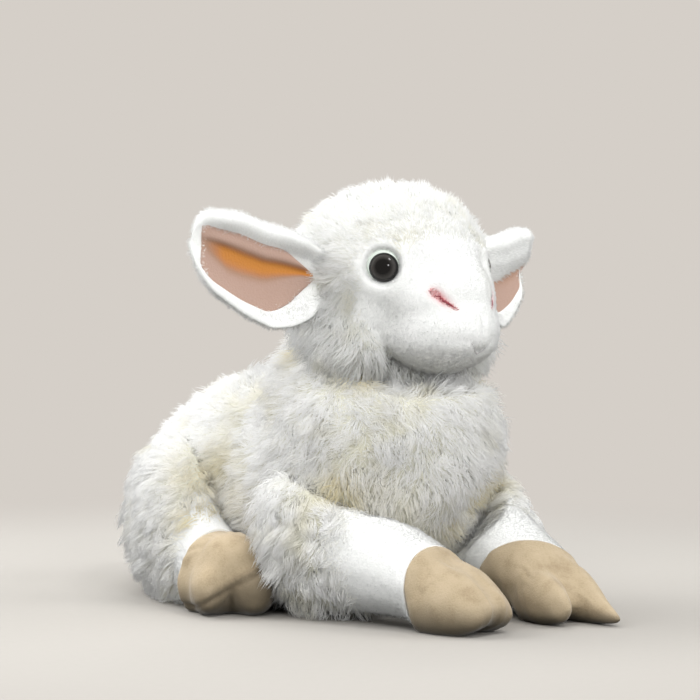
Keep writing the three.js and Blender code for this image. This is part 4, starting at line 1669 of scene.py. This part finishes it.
@dataclass
class Ear(Toy):
    """A cupped ear: a white plush leaf with a rolled rim and a peach lining folded down its middle."""

    side: Side = Side.RIGHT
    sweep: float = 7.0  # degrees that it lies back
    droop: float = 0.0  # degrees that it hangs
    length: float = 67.0
    height: float = 47.5
    cup: float = 14.0
    tip_cup_share: float = 0.4
    top_cup_share: float = 0.45  # of the half over the fold
    rise: float = 17.0
    root: Triple = (44.0, -74.0, 153.0)
    fold_over: float = 0.0  # how far the top rim, folded over the lining, puffs out
    hem_from: float = -0.02  # how low the folded rim comes, as a share of half the ear
    depth: float = 1.0  # how strong the painted shade in the lining's fold is
    tuck: float = 0.0  # how much shorter the lower half is
    leaf: float = 1.3  # half the leaf's thickness in the middle
    roll: float = 3.3  # half of it at the rim
    lining: float = 0.8  # the lining's thickness
    lining_gap: float = 0.35
    lining_from: float = 0.06  # a share of the length, from the root and from the tip
    lip: float = 1.2  # how far the lining's upper half hangs over the fold
    round_share: float = 0.14  # of the length that the tip's round takes
    along: int = 56
    around: int = 30
    lining_along: int = 48
    # From the root to the tip: a place, the half height as a share of the ear's, and the share of its rise.
    shares: tuple[Triple, ...] = (
        (0.0, 0.5, 0.0),
        (0.14, 0.76, -0.05),
        (0.3, 0.91, -0.03),
        (0.473, 0.98, 0.01),
        (0.667, 0.95, 0.33),
        (0.876, 0.76, 0.64),
        (1.0, 0.68, 0.93),
    )

    def surface(self, u: Array, a: Array, forward: Array) -> Array:
        """A place on the ear.

        Args:
            u: from the root to the tip, 0 to 1.
            a: from the low rim to the high one, -1 to 1.
            forward: ahead of the leaf's middle surface, in mm.

        Returns:
            The places, in mm.
        """
        rows = eased(self.shares, u)
        half = rows[:, 0] * self.height / 2 * self.rounding(u)
        across = a * self.rounding(u) * np.where(a > 0, self.top_cup_share, 1.0)
        cup = self.cup * (1 + (self.tip_cup_share - 1) * u) * np.interp(u, [0, 0.35], [0.25, 1.0])
        sign = self.side.sign
        length = self.length * (1 - self.tuck * fade(a, -0.6, 0.0) * u)
        ahead = -cup * across**2 - forward
        points = np.stack([sign * u * length, ahead, self.rise * rows[:, 1] + half * a], 1)
        points = turned(points, (0, -1, 0), -sign * self.droop)
        points = turned(points, UP, sign * self.sweep)
        return points + np.array([sign * self.root[0], *self.root[1:]])

    def rounding(self, u: Array) -> Array:
        """The round of the tip."""
        beyond = np.maximum(u - (1 - self.round_share), 0) / self.round_share
        return np.sqrt(np.clip(1 - beyond**2, 0, 1))

    @staticmethod
    def fold_line(u: Array) -> Array:
        """The fold's place across the ear."""
        return 0.06 + 0.22 * np.sin(np.clip(u, 0, 1) * math.pi) - 0.1 * u + 0.2 * smoothstep(u, 0.6, 1.0)

    def fold(self, u: Array, a: Array) -> Array:
        """How deep in the lining's fold a place is, from 0 to 1.

        Args:
            u: from the root to the tip, 0 to 1.
            a: from the low rim to the high one, -1 to 1.

        Returns:
            A share for each place.
        """
        away = a - self.fold_line(u)
        places = [0.0, 0.16, 0.28, 0.43, 0.58, 0.75, 0.9]
        width = np.interp(u, places, [0.13, 0.1, 0.19, 0.29, 0.36, 0.42, 0.3])
        share = np.where(away < 0, np.exp(-((away / width) ** 4)), hump(away, 0.09))
        return share * np.interp(u, [0, 0.15, 0.78, 0.95], [0.9, 1.0, 0.9, 0.1])

    def flap(self, u: Array, a: Array) -> Array:
        """How far the lining's upper half hangs forward over the fold, in mm.

        Args:
            u: from the root to the tip, 0 to 1.
            a: from the low rim to the high one, -1 to 1.

        Returns:
            A distance for each place.
        """
        away = a - self.fold_line(u)
        lip = hump(away - 0.14, 0.16) * smoothstep(away, -0.02, 0.1)
        return lip * self.lip * np.interp(u, [0, 0.2, 0.8, 1], [0.4, 1, 1, 0])

    def hem(self, u: Array, a: Array) -> Array:
        """How far the folded top rim puffs forward, in mm.

        Args:
            u: from the root to the tip, 0 to 1.
            a: from the low rim to the high one, -1 to 1.

        Returns:
            A distance for each place.
        """
        top = 1.02
        half = (top - self.hem_from) / 2
        bump = np.sqrt(np.clip(1 - ((a - top + half) / half) ** 2, 0, 1))
        return bump * self.fold_over * np.interp(u, [0, 0.2, 0.82, 0.97], [0.5, 1, 1, 0])

    def build(self) -> None:
        """Makes the leaf, its lining and their pile."""
        body = f"ear_{self.side.value}"
        leaf = self.leaf_skin()
        piece = leaf.piece(f"ear_leaf_{self.side.value}", self.finishes.plush)
        dress(piece, body, [f"ear_back_{self.side.value}"])
        lining, fold = self.lining_skin()
        piece = lining.piece(f"ear_velour_{self.side.value}", self.finishes.lining)
        # Painted shade: the lining darkens to orange deep in its fold, less on the far ear.
        painted(piece, "fold", fold * self.depth)
        dress(piece, body, [f"ear_lining_{self.side.value}"])
        comb = steady((self.side.sign, 0.0, 0.2))
        coat = Coat(self.finishes.plush_pile, body, "short_plush", 0.7)
        short = Pile(2.4, 2.4, thick=0.22, lean=0.62, lock=2.6, gather=0.2, rings=2, swirl=0.4)
        coat.grow(f"ear_pile_{self.side.value}", leaf, short, self.open_share(leaf), comb, Seed.EAR_PILE)

    def open_share(self, leaf: Skin) -> Array:
        """Where the leaf shows: everywhere but under the lining.

        Args:
            leaf: the ear's leaf.

        Returns:
            1 for each point that shows, and 0 for the others.
        """
        a, out = (np.tile(values, self.along) for values in self.round_the_leaf())
        u = np.repeat(self.stations(), 2 * self.around)
        lined = (np.abs(a) < self.lining_width(u)) & (u > 0.05) & (u < 0.9) & (self.hem(u, a) < 0.1)
        middles = np.zeros(len(leaf.points) - len(u))
        return np.append(1.0 - (lined & (out > 0)), middles)

    def stations(self) -> Array:
        """Places from the root to the tip, closer together by the tip."""
        return np.sin(np.linspace(0, 1, self.along) * math.pi / 2)

    def round_the_leaf(self) -> tuple[Array, Array]:
        """Across shares and forward distances round the leaf's section, the front first.

        Returns:
            The across shares and the distances.
        """
        a = -np.cos((np.arange(self.around) + 0.5) / self.around * math.pi)
        thick = self.leaf + (self.roll - self.leaf) * smoothstep(np.abs(a), 0.55, 0.88)
        out = thick * np.sqrt(1 - np.abs(a) ** 6)
        return np.concatenate([a, a[::-1]]), np.concatenate([out, -out[::-1]])

    @staticmethod
    def lining_width(u: Array) -> Array:
        """The lining's half height as a share of the ear's."""
        return np.interp(u, [0.06, 0.27, 0.48, 0.73, 0.9, 0.94], [0.1, 0.52, 0.74, 0.84, 0.8, 0.66])

    def outward(self, faces: Array) -> Array:
        """Turns the faces of a mirrored ear round."""
        return faces[:, ::-1] if self.side is Side.LEFT else faces

    def leaf_skin(self) -> Skin:
        """The closed leaf, from its pinched root to its tip.

        Returns:
            The leaf.
        """
        a, out = self.round_the_leaf()
        count = len(a)
        rows = []
        for u in self.stations():
            place = np.full(count, u)
            pit = self.fold(place, a) * (np.abs(a) < 0.7)
            front = self.hem(place, a) * (out > 0)
            rows.append(self.surface(place, a, (out + front) * max(self.rounding(u), 0.3) - pit))
        points = np.concatenate([*rows, rows[0].mean(0)[None], rows[-1].mean(0)[None]])
        faces = np.concatenate([bands(count, self.along), self.ends(count)])
        leaf = Skin(points, self.outward(faces))
        leaf.smooth(10, np.append(np.repeat(smoothstep(self.stations(), 0.9, 0.97), count), [0.0, 1.0]))
        return leaf

    def ends(self, count: int) -> Array:
        """Quads that close the leaf's root and tip round their middle points.

        Args:
            count: the points round the leaf.

        Returns:
            Their corner numbers.
        """
        column = np.arange(0, count, 2)
        last = (self.along - 1) * count
        root = np.full(len(column), self.along * count)
        middle, after = (column + 1) % count, (column + 2) % count
        low = np.stack([root, after, middle, column], 1)
        high = np.stack([root + 1, column + last, middle + last, after + last], 1)
        return np.concatenate([low, high])

    def lining_skin(self) -> tuple[Skin, Array]:
        """The closed lining and how deep in the fold each of its points is.

        Returns:
            The lining and the depths, from 0 to 1.
        """
        steps, across = self.lining_along, self.around
        u = np.repeat(np.linspace(self.lining_from, 1 - self.lining_from, steps), across)
        share = np.tile(np.linspace(-1, 1, across), steps)
        a = share * self.lining_width(u)
        fold = self.fold(u, a)
        edge = np.maximum(np.abs(share), np.abs(np.linspace(-1, 1, steps)).repeat(across)) ** 8
        front = self.leaf + self.lining * (1 - edge) + self.lining_gap - fold + self.flap(u, a)
        top = self.surface(u, a, front)
        low = self.surface(u, a, front - self.lining - 0.6)
        grid = np.arange(steps * across).reshape(steps, across)
        quads = np.stack([grid[:-1, :-1], grid[:-1, 1:], grid[1:, 1:], grid[1:, :-1]], -1).reshape(-1, 4)
        ring = np.concatenate([grid[0], grid[1:, -1], grid[-1, -2::-1], grid[-2:0:-1, 0]])
        after = np.roll(ring, -1)
        count = len(top)
        walls = np.stack([after, ring, ring + count, after + count], 1)
        faces = np.concatenate([quads, quads[:, ::-1] + count, walls])
        return Skin(np.concatenate([top, low]), self.outward(faces)), np.concatenate([fold, fold])


# The near ear's rim is rolled over its lining; the far one is shorter, hangs and is folded further.
RIGHT_EAR = {"side": Side.RIGHT, "fold_over": 3.0, "hem_from": 0.58, "tuck": -0.02}
LEFT_EAR = {
    "side": Side.LEFT,
    "sweep": 11.0,
    "droop": 7.0,
    "length": 57.5,
    "height": 45.5,
    "fold_over": 5.0,
    "depth": 0.35,
    "tuck": 0.16,
}


class Limb(Enum):
    """The two kinds of leg, as their nodes are named."""

    FORE = ("foreleg_fur", "foreleg_sleeve", "fore_hoof", "foreleg_filling")
    HIND = ("thigh_fur", "hind_cuff", "hind_hoof", "hind_filling")


@dataclass
class Leg(Toy):
    """A leg: long pile at the top, a short-plush sleeve and a velboa hoof with two toes."""

    limb: Limb = Limb.FORE
    side: Side = Side.RIGHT
    start: tuple[float, float] = (44.5, -48.0)
    toe_in: float = 6.0
    sleeve_at: float = 46.1
    hoof_at: float = 89.0
    hoof_top: float = 42.0
    hoof_turn: float = 0.0
    over: float = 17.0  # how far the long pile thins out over the sleeve
    point: float = 0.0  # how far the outer toe runs out to a point
    flat: float = 0.0  # how much lower the leg gets from its sleeve on
    narrower: float = 0.3  # how much the toes narrow by their tips, as a share
    lower_tips: float = 0.3  # how much lower they get
    web: Triple | None = None  # half sizes of the stuffing that joins the toes
    sole: bool = False  # the sole panel's seam shows from the front
    swing: float = 0.0  # how far the toes lie towards the lamb's middle
    seam_turn: float = 0.0  # how far the hoof's seam lies back on the leg's inner side, as a slope
    seam_lean: float = 0.0  # how far it lies back at its foot, as a slope
    shade_height: float = 16.0  # how high the painted shade over the floor reaches on the velboa
    cleft: float = 1.5  # the half width and the depth of the groove between the toes
    parting: float = 8.0  # how deep the toes' hollow is where they part, at a narrowing of 1
    toe_middle: float = 9.5  # of each toe, outward from the cleft
    point_middle: float = 11.0  # of the toe that runs to a point
    point_narrower: float = 0.45
    point_lower: float = 0.55
    wrinkle: float = 0.28
    wrinkle_mm: float = 9.0
    lump: float = 0.25  # how uneven the stuffing is
    lump_mm: float = 14.0
    sole_height: float = 13.0
    sole_slope: float = 0.55
    bare_to: float = 1.0  # no pile grows under this height
    full_over: float = 4.0  # and it is full this much over it

    def build(self) -> None:
        """Makes the leg's three skins, its stuffing and its pile."""
        fur, sleeve, hoof, filling = (f"{name}_{self.side.value}" for name in self.limb.value)
        body = ("foreleg_" if self.limb is Limb.FORE else "hindleg_") + self.side.value
        skin = Skin.wrap(self.solids(fur, sleeve, hoof, filling), voxel=1.8, rounds=16, growth=0.7)
        self.settle(skin)
        skin.stand()
        ahead = self.ahead()
        sleeve_cut = self.seam(self.sleeve_at)
        hoof_cut, facing = self.hoof_seam()
        top = skin.piece(f"{fur}_skin", self.finishes.backing, [(sleeve_cut, ahead)])
        dress(top, body, [fur])
        cuts = [(sleeve_cut - ahead * 2, -ahead), (hoof_cut + facing, facing)]
        dress(skin.piece(f"{sleeve}_skin", self.finishes.plush, cuts), body, [sleeve])
        self.hoof(hoof, [filling, sleeve] if self.seam_lean else [filling], body)
        self.stuffing(filling, body)
        self.pile(skin, body)

    def ahead(self, turn: float = 0.0) -> Array:
        """The way that the leg points on the floor, or its hoof where that is turned."""
        forward = turned(np.array([0.0, -1.0, 0.0]), UP, -self.side.sign * self.toe_in)
        return turned(forward, UP, self.side.sign * turn)

    def outward(self, turn: float = 0.0) -> Array:
        """Across the leg or its hoof, away from the lamb."""
        across = turned(self.ahead(turn), UP, 90)
        return across * np.sign(across[0] * self.side.sign)

    def seam(self, distance: float) -> Array:
        """The place on the leg's line at a distance from its start."""
        return np.array([self.side.sign * self.start[0], self.start[1], 0.0]) + self.ahead() * distance

    def hoof_seam(self) -> tuple[Array, Array]:
        """A place on the hoof's seam, at its top, and the way that the hoof lies from it."""
        facing = self.ahead() - self.outward() * self.seam_turn - np.array(UP) * self.seam_lean
        return self.seam(self.hoof_at) + np.array(UP) * self.hoof_top, unit(facing)

    def settle(self, skin: Skin) -> None:
        """Lets a cover or filling of the leg sink from the sleeve on."""
        ahead = (skin.points - self.seam(0)) @ self.ahead()
        skin.points[:, 2] *= 1 - self.flat * smoothstep(ahead, self.sleeve_at - 10, self.hoof_at - 8)

    def local(self, points: Array, turn: float = 0.0) -> Array:
        """Places as rows of distances outward, ahead of the hoof's seam and up."""
        away = points - self.seam(self.hoof_at)
        return np.stack([away @ self.outward(turn), away @ self.ahead(turn), points[:, 2]])

    def toes_joined(self, half: Triple) -> Solid:
        """A ball of stuffing between the toes.

        Args:
            half: its half sizes.

        Returns:
            Its points and triangles.
        """
        points, faces = ball((0, 0, 0), half, 40)
        points = turned(points, UP, self.side.sign * (self.hoof_turn - self.toe_in))
        middle = self.seam(self.hoof_at) + self.ahead(self.hoof_turn) * (half[1] * 0.85)
        return points + middle + np.array(UP) * (half[2] + 0.5), faces

    def hoof(self, node: str, inner: Sequence[str], body: str) -> None:
        """Sculpts the hoof: a tucked seam, a cleft with wrinkles and, on one, a toe that runs to a point.

        Args:
            node: the hoof's CAD node.
            inner: the nodes inside it.
            body: the body it rides on.
        """
        solids = self.solids(node, *inner) + ([self.toes_joined(self.web)] if self.web else [])
        skin = Skin.wrap(solids, voxel=1.3, rounds=30, growth=0.9)
        out, ahead, up = self.local(skin.points, self.hoof_turn)
        normals = skin.normals()
        skin.points -= normals * (self.groove(out, ahead, up) * self.cleft)[:, None]
        wander = drift(skin.points, self.wrinkle_mm, Seed.HOOF_WRINKLES)[:, 0] * 2.5
        ripple = np.sin(out * 1.3 + wander) * hump(ahead - 12, 5)
        skin.points += normals * (ripple * self.wrinkle * smoothstep(up, 6, 16))[:, None]
        skin.points += normals * drift(skin.points, self.lump_mm, Seed.HOOF_LUMPS)[:, :1] * self.lump
        self.settle(skin)
        self.narrow(skin)
        if self.point:
            self.draw_out(skin)
        place, facing = self.hoof_seam()
        beyond = (skin.points - place) @ facing
        skin.push(hump(beyond - 4.5, 3) * 0.6 - hump(beyond, 1.3))
        skin.stand()
        piece = skin.piece(f"{node}_skin", self.finishes.hoof, [(place, -facing)])
        # Painted shade: darker in the cleft, under the sole's seam and towards the floor.
        out, ahead, up = self.local(places_of(piece.data), self.hoof_turn)
        crease = self.groove(out, ahead, up) ** 1.5 * 0.7
        if self.sole:
            crease = np.maximum(crease, smoothstep(self.sole_line(out) - up, -0.5, 1.5) * 0.75)
        painted(piece, "crease", np.maximum(crease, fade(up, 1, self.shade_height)))
        dress(piece, body, [node])

    def sole_line(self, out: Array) -> Array:
        """The height of the sole's seam at a distance outward."""
        return self.sole_height - self.sole_slope * out

    def groove(self, out: Array, ahead: Array, up: Array) -> Array:
        """How deep a place of the hoof lies in its cleft or sole seam.

        Args:
            out: how far outward places are.
            ahead: how far ahead of the hoof's seam.
            up: how high.

        Returns:
            Shares from 0 to 1.
        """
        cleft = hump(out, self.cleft) * smoothstep(ahead, 18, 30)
        if not self.sole:
            return cleft
        over = up - self.sole_line(out)
        seam = hump(over, 1.3) * smoothstep(ahead, 4, 12)
        return np.maximum(cleft * fade(over, -1, 2), seam * 0.7)

    def narrow(self, skin: Skin) -> None:
        """Tapers each toe to its tip and presses a hollow where the toes part.

        Args:
            skin: the hoof's skin.
        """
        out, ahead, up = self.local(skin.points)
        share = smoothstep(ahead, 12, 40)
        hollow = hump(out, 7) * hump(ahead - 18, 9) * smoothstep(up, 14, 26)
        skin.points[:, 2] -= up * share * self.lower_tips + hollow * self.parting * self.narrower
        inward = (out - self.toe_middle * np.sign(out)) * share * self.narrower
        inward += self.swing * smoothstep(ahead, 0, 14)
        skin.points -= self.outward() * inward[:, None]

    def draw_out(self, skin: Skin) -> None:
        """Runs the outer toe out to a low point.

        Args:
            skin: the hoof's skin.
        """
        out, ahead, up = self.local(skin.points)
        share = smoothstep(out, 0.0, 5.0) * smoothstep(ahead, 14, 36)
        inward = (out - self.point_middle) * share * self.point_narrower
        skin.points += self.ahead() * (share * self.point)[:, None]
        skin.points -= self.outward() * inward[:, None]
        skin.points[:, 2] -= up * share * self.point_lower

    def pile(self, skin: Skin, body: str) -> None:
        """Grows the leg's long pile and the sleeve's short one.

        Args:
            skin: the leg's skin.
            body: the body they ride on.
        """
        ahead = (skin.points - self.seam(0)) @ self.ahead()
        overhang = 1.15 + skin.normals()[:, 2]
        over_floor = np.clip((skin.points[:, 2] - self.bare_to) / self.full_over, 0, 1)
        bare_under = over_floor * np.clip(overhang, 0, 1)
        top = bare_under * fade(ahead, self.sleeve_at - 1.5, self.sleeve_at + self.over)
        fur, sleeve = (f"{name}_pile_{self.side.value}" for name in self.limb.value[:2])
        long = Pile(13.0, 1.6, lean=0.66, droop=0.7, lock=5.2, gather=0.86, thick=0.4, ragged=0.45)
        coat = Coat(self.finishes.fur, body, "fur", 0.5)
        coat.grow(fur, skin, long, top, self.comb, Seed.LEG_PILE, self.lengths, painted_crease_shade)
        place, facing = self.hoof_seam()
        lower = smoothstep(ahead, self.sleeve_at - 3, self.sleeve_at)
        lower *= smoothstep((place - skin.points) @ facing, -1.0, 0.0)
        short = Pile(1.7, 2.4, thick=0.24, lean=0.76, lock=2.4, gather=0.1, rings=2, swirl=0.3)
        coat = Coat(self.finishes.plush_pile, body, "short_plush", 1.0)
        coat.grow(sleeve, skin, short, lower * bare_under, steady(self.ahead()), Seed.SLEEVE_PILE)

    def lengths(self, places: Array) -> Array:
        """Full at the top and ever shorter over the sleeve.

        Args:
            places: where the pile stands.

        Returns:
            Shares of the pile's length.
        """
        ahead = (places - self.seam(self.sleeve_at)) @ self.ahead()
        full = 1.3 if self.limb is Limb.FORE else 0.95
        return np.interp(ahead, [-34, -16, -2, self.over], [full, min(full, 1.0), 0.72, 0.25])

    def comb(self, places: Array) -> Array:
        """Down and outward, and forward over the sleeve on a foreleg.

        Args:
            places: where the pile stands.

        Returns:
            The way that it is brushed there.
        """
        sign = self.side.sign
        if self.limb is Limb.HIND:
            return steady((0.2 * sign, 0.6, -0.8))(places)
        ahead = (places - self.seam(0)) @ self.ahead()
        over = smoothstep(ahead, 10, self.sleeve_at)[:, None]
        forward = self.ahead() * 0.55 - np.array(UP) * 0.9
        return np.array([0.25 * sign, 0.3, -1.0]) * (1 - over) + forward * over


# The left foreleg's hoof is lower, and its outer toe runs to a point; the hind hooves lie under the thighs.
RIGHT_FORELEG = {"side": Side.RIGHT, "web": (17.0, 21.0, 15.0)}
LEFT_FORELEG = {
    "side": Side.LEFT,
    "start": (44.5, -57.0),
    "toe_in": 12.0,
    "flat": 0.09,
    "point": 9.0,
    "narrower": 0.35,
    "lower_tips": 0.22,
    "seam_turn": 0.45,
    "seam_lean": 0.45,
    "shade_height": 8.0,
}
HIND_LEG = {
    "start": (34.5, 55.2),
    "toe_in": -20.0,
    "sleeve_at": 73.2,
    "hoof_at": 86.8,
    "hoof_turn": 20.0,
    "over": 12.0,
    "narrower": 0.0,
    "lower_tips": 0.0,
    "web": (17.0, 17.5, 18.0),
    "sole": True,
    "swing": 7.0,
}


@dataclass
class Tail(Toy):
    """The short tail, all under long pile."""

    def build(self) -> None:
        """Makes the tail's skin and pile."""
        skin = Skin.wrap(self.solids("tail"), voxel=1.6, rounds=8, growth=0.5)
        dress(skin.piece("tail_skin", self.finishes.backing), "tail", ["tail"])
        everywhere = np.ones(len(skin.points))
        coat = Coat(self.finishes.fur, "tail", "fur")
        coat.grow("tail_fur", skin, Pile(9, 1.4, droop=0.8), everywhere, steady((0, 0.2, -1)), Seed.TAIL_FUR)


@dataclass(frozen=True)
class SoftBox:
    """A square lamp that faces the lamb; angles in degrees, size in mm, power in watts."""

    name: str
    azimuth: float
    elevation: float
    size: float
    power: float
    mirrored: bool = False  # whether the eyes show it


@dataclass(frozen=True)
class Studio:
    """A pale floor, soft plain light and the camera at the photograph's angle; sizes in mm."""

    azimuth: float = -42.0
    elevation: float = 2.0
    distance: float = 1200.0
    target: Triple = (0.0, -45.6, 118.0)
    pixels_a_mm: float = 2.13  # at the target, in a picture 700 wide
    picture: int = 700
    sensor: float = 36.0
    ground: str = "d5cfc8"
    paper: tuple[str, str] = ("b4b0aa", "b7b3ad")
    paper_mm: float = 4.0
    bounce: str = "5a5a57"  # what the floor gives back to the lamb's underside
    near: float = 230.0  # the floor takes shadows within this reach
    far: float = 520.0
    floor_reach: float = 6000.0
    sky: str = "f0f5fa"
    sky_strength: float = 0.16
    lamp_distance: float = 1100.0
    lamps: tuple[SoftBox, ...] = (
        SoftBox("back_left_soft_box", -160.0, 40.0, 700.0, 7.6),
        SoftBox("back_right_soft_box", 140.0, 60.0, 700.0, 6.2),
        SoftBox("front_soft_box", -50.0, 40.0, 500.0, 3.6),
        SoftBox("left_soft_box", -126.0, 38.0, 600.0, 4.4),
        SoftBox("right_soft_box", 48.0, 30.0, 700.0, 5.2),
        SoftBox("low_right_soft_box", -2.0, 12.0, 500.0, 3.0),
        SoftBox("low_left_soft_box", -84.0, 3.0, 500.0, 3.4),
        SoftBox("key_soft_box", -4.0, 52.0, 180.0, 2.5, mirrored=True),
        SoftBox("second_soft_box", -26.0, 18.0, 130.0, 1.1, mirrored=True),
    )

    def build(self) -> None:
        """Makes the floor, the world, the lamps and the camera."""
        scene = bpy.context.scene
        scene.view_settings.view_transform = "Standard"
        self.floor()
        self.world(scene)
        for lamp in self.lamps:
            light = bpy.data.lights.new(lamp.name, "AREA")
            light.size = lamp.size * MM
            light.energy = lamp.power
            shining = bpy.data.objects.new(lamp.name, light)
            shining.visible_glossy = lamp.mirrored
            self.aim(shining, lamp.azimuth, lamp.elevation, self.lamp_distance)
        data = bpy.data.cameras.new("camera")
        data.sensor_width = self.sensor
        data.lens = self.pixels_a_mm * self.distance / self.picture * self.sensor
        scene.camera = bpy.data.objects.new("camera", data)
        self.aim(scene.camera, self.azimuth, self.elevation, self.distance)

    def aim(self, thing: bpy.types.Object, azimuth: float, elevation: float, distance: float) -> None:
        """Puts a lamp or camera into the scene, facing the target.

        Args:
            thing: the lamp or camera.
            azimuth: from where it looks, in degrees; at 0 it looks along +Y.
            elevation: how high it stands, in degrees.
            distance: from the target, in mm.
        """
        a, e = math.radians(azimuth), math.radians(elevation)
        back = np.array([math.sin(a) * math.cos(e), -math.cos(a) * math.cos(e), math.sin(e)])
        thing.location = (np.array(self.target) + back * distance) * MM
        thing.rotation_euler = Vector(-back).to_track_quat("-Z", "Y").to_euler()
        bpy.context.scene.collection.objects.link(thing)

    @staticmethod
    def looked_at(tree: Tree) -> Socket:
        """1 for what the camera, a mirror or glass sees, and 0 for what only gives light.

        Args:
            tree: the nodes of a material or of the world.

        Returns:
            The share.
        """
        rays = add(tree, "LightPath")
        total = rays.outputs["Is Camera Ray"]
        for kind in ("Is Glossy Ray", "Is Transmission Ray"):
            total = add(tree, "Math", {"operation": "MAXIMUM"}, i0=total, i1=rays.outputs[kind]).outputs[0]
        return total

    def floor(self) -> None:
        """A wide floor that keeps the shadow near the lamb and fades to the background further out."""
        material, tree = blank("studio_floor")
        place = add(tree, "TexCoord").outputs["Object"]
        noise = add(tree, "TexNoise", Vector=place, Scale=1 / (self.paper_mm * MM), Detail=2.0)
        tones = {"stops": list(zip((0.0, 1.0), self.paper))}
        grey = add(tree, "ValToRGB", tones, Fac=noise.outputs["Fac"])
        paper = add(tree, "BsdfDiffuse", Color=grey.outputs["Color"])
        dim = add(tree, "BsdfDiffuse", Color=linear(self.bounce))
        away = add(tree, "VectorMath", {"operation": "LENGTH"}, Vector=place).outputs["Value"]
        limits = {"From_Min": self.near * MM, "From_Max": self.far * MM}
        out = add(tree, "MapRange", SMOOTH, Value=away, **limits).outputs["Result"]
        looked_at = self.looked_at(tree)
        near = add(tree, "MixShader", i0=looked_at, i1=dim.outputs[0], i2=paper.outputs[0])
        seen = add(tree, "Math", {"operation": "MULTIPLY"}, i0=out, i1=looked_at)
        ground = add(tree, "Emission", Color=linear(self.ground), Strength=1.0)
        mix = add(tree, "MixShader", i0=seen.outputs[0], i1=near.outputs[0], i2=ground.outputs[0])
        add(tree, "OutputMaterial", Surface=mix.outputs[0])
        corners = np.array([[-1, -1, 0], [1, -1, 0], [1, 1, 0], [-1, 1, 0]]) * self.floor_reach
        floor = shown("studio_floor", corners, [np.array([[0, 1, 2, 3]])], material)

    def world(self, scene: bpy.types.Scene) -> None:
        """Soft light from all round, with the background's colour where the camera sees it.

        Args:
            scene: the scene that it lights.
        """
        scene.world = bpy.data.worlds.new("studio")
        scene.world.use_nodes = True
        tree = scene.world.node_tree
        tree.nodes.clear()
        light = add(tree, "Background", Color=linear(self.sky), Strength=self.sky_strength)
        seen = add(tree, "Background", Color=linear(self.ground), Strength=1.0)
        mix = add(tree, "MixShader", i0=self.looked_at(tree), i1=light.outputs[0], i2=seen.outputs[0])
        add(tree, "OutputWorld", Surface=mix.outputs[0])


def main() -> None:
    """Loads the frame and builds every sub-assembly."""
    logging.basicConfig(level=logging.INFO, format="%(message)s")
    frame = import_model()
    toy = (frame["nodes"], Finishes.make())
    Studio().build()
    Trunk(*toy).build()
    Head(*toy).build()
    for ear in (RIGHT_EAR, LEFT_EAR):
        Ear(*toy, **ear).build()
    for leg in (RIGHT_FORELEG, LEFT_FORELEG):
        Leg(*toy, Limb.FORE, **leg).build()
    for side in Side:
        Leg(*toy, Limb.HIND, side, **HIND_LEG).build()
    Tail(*toy).build()


if __name__ == "__main__":
    main()
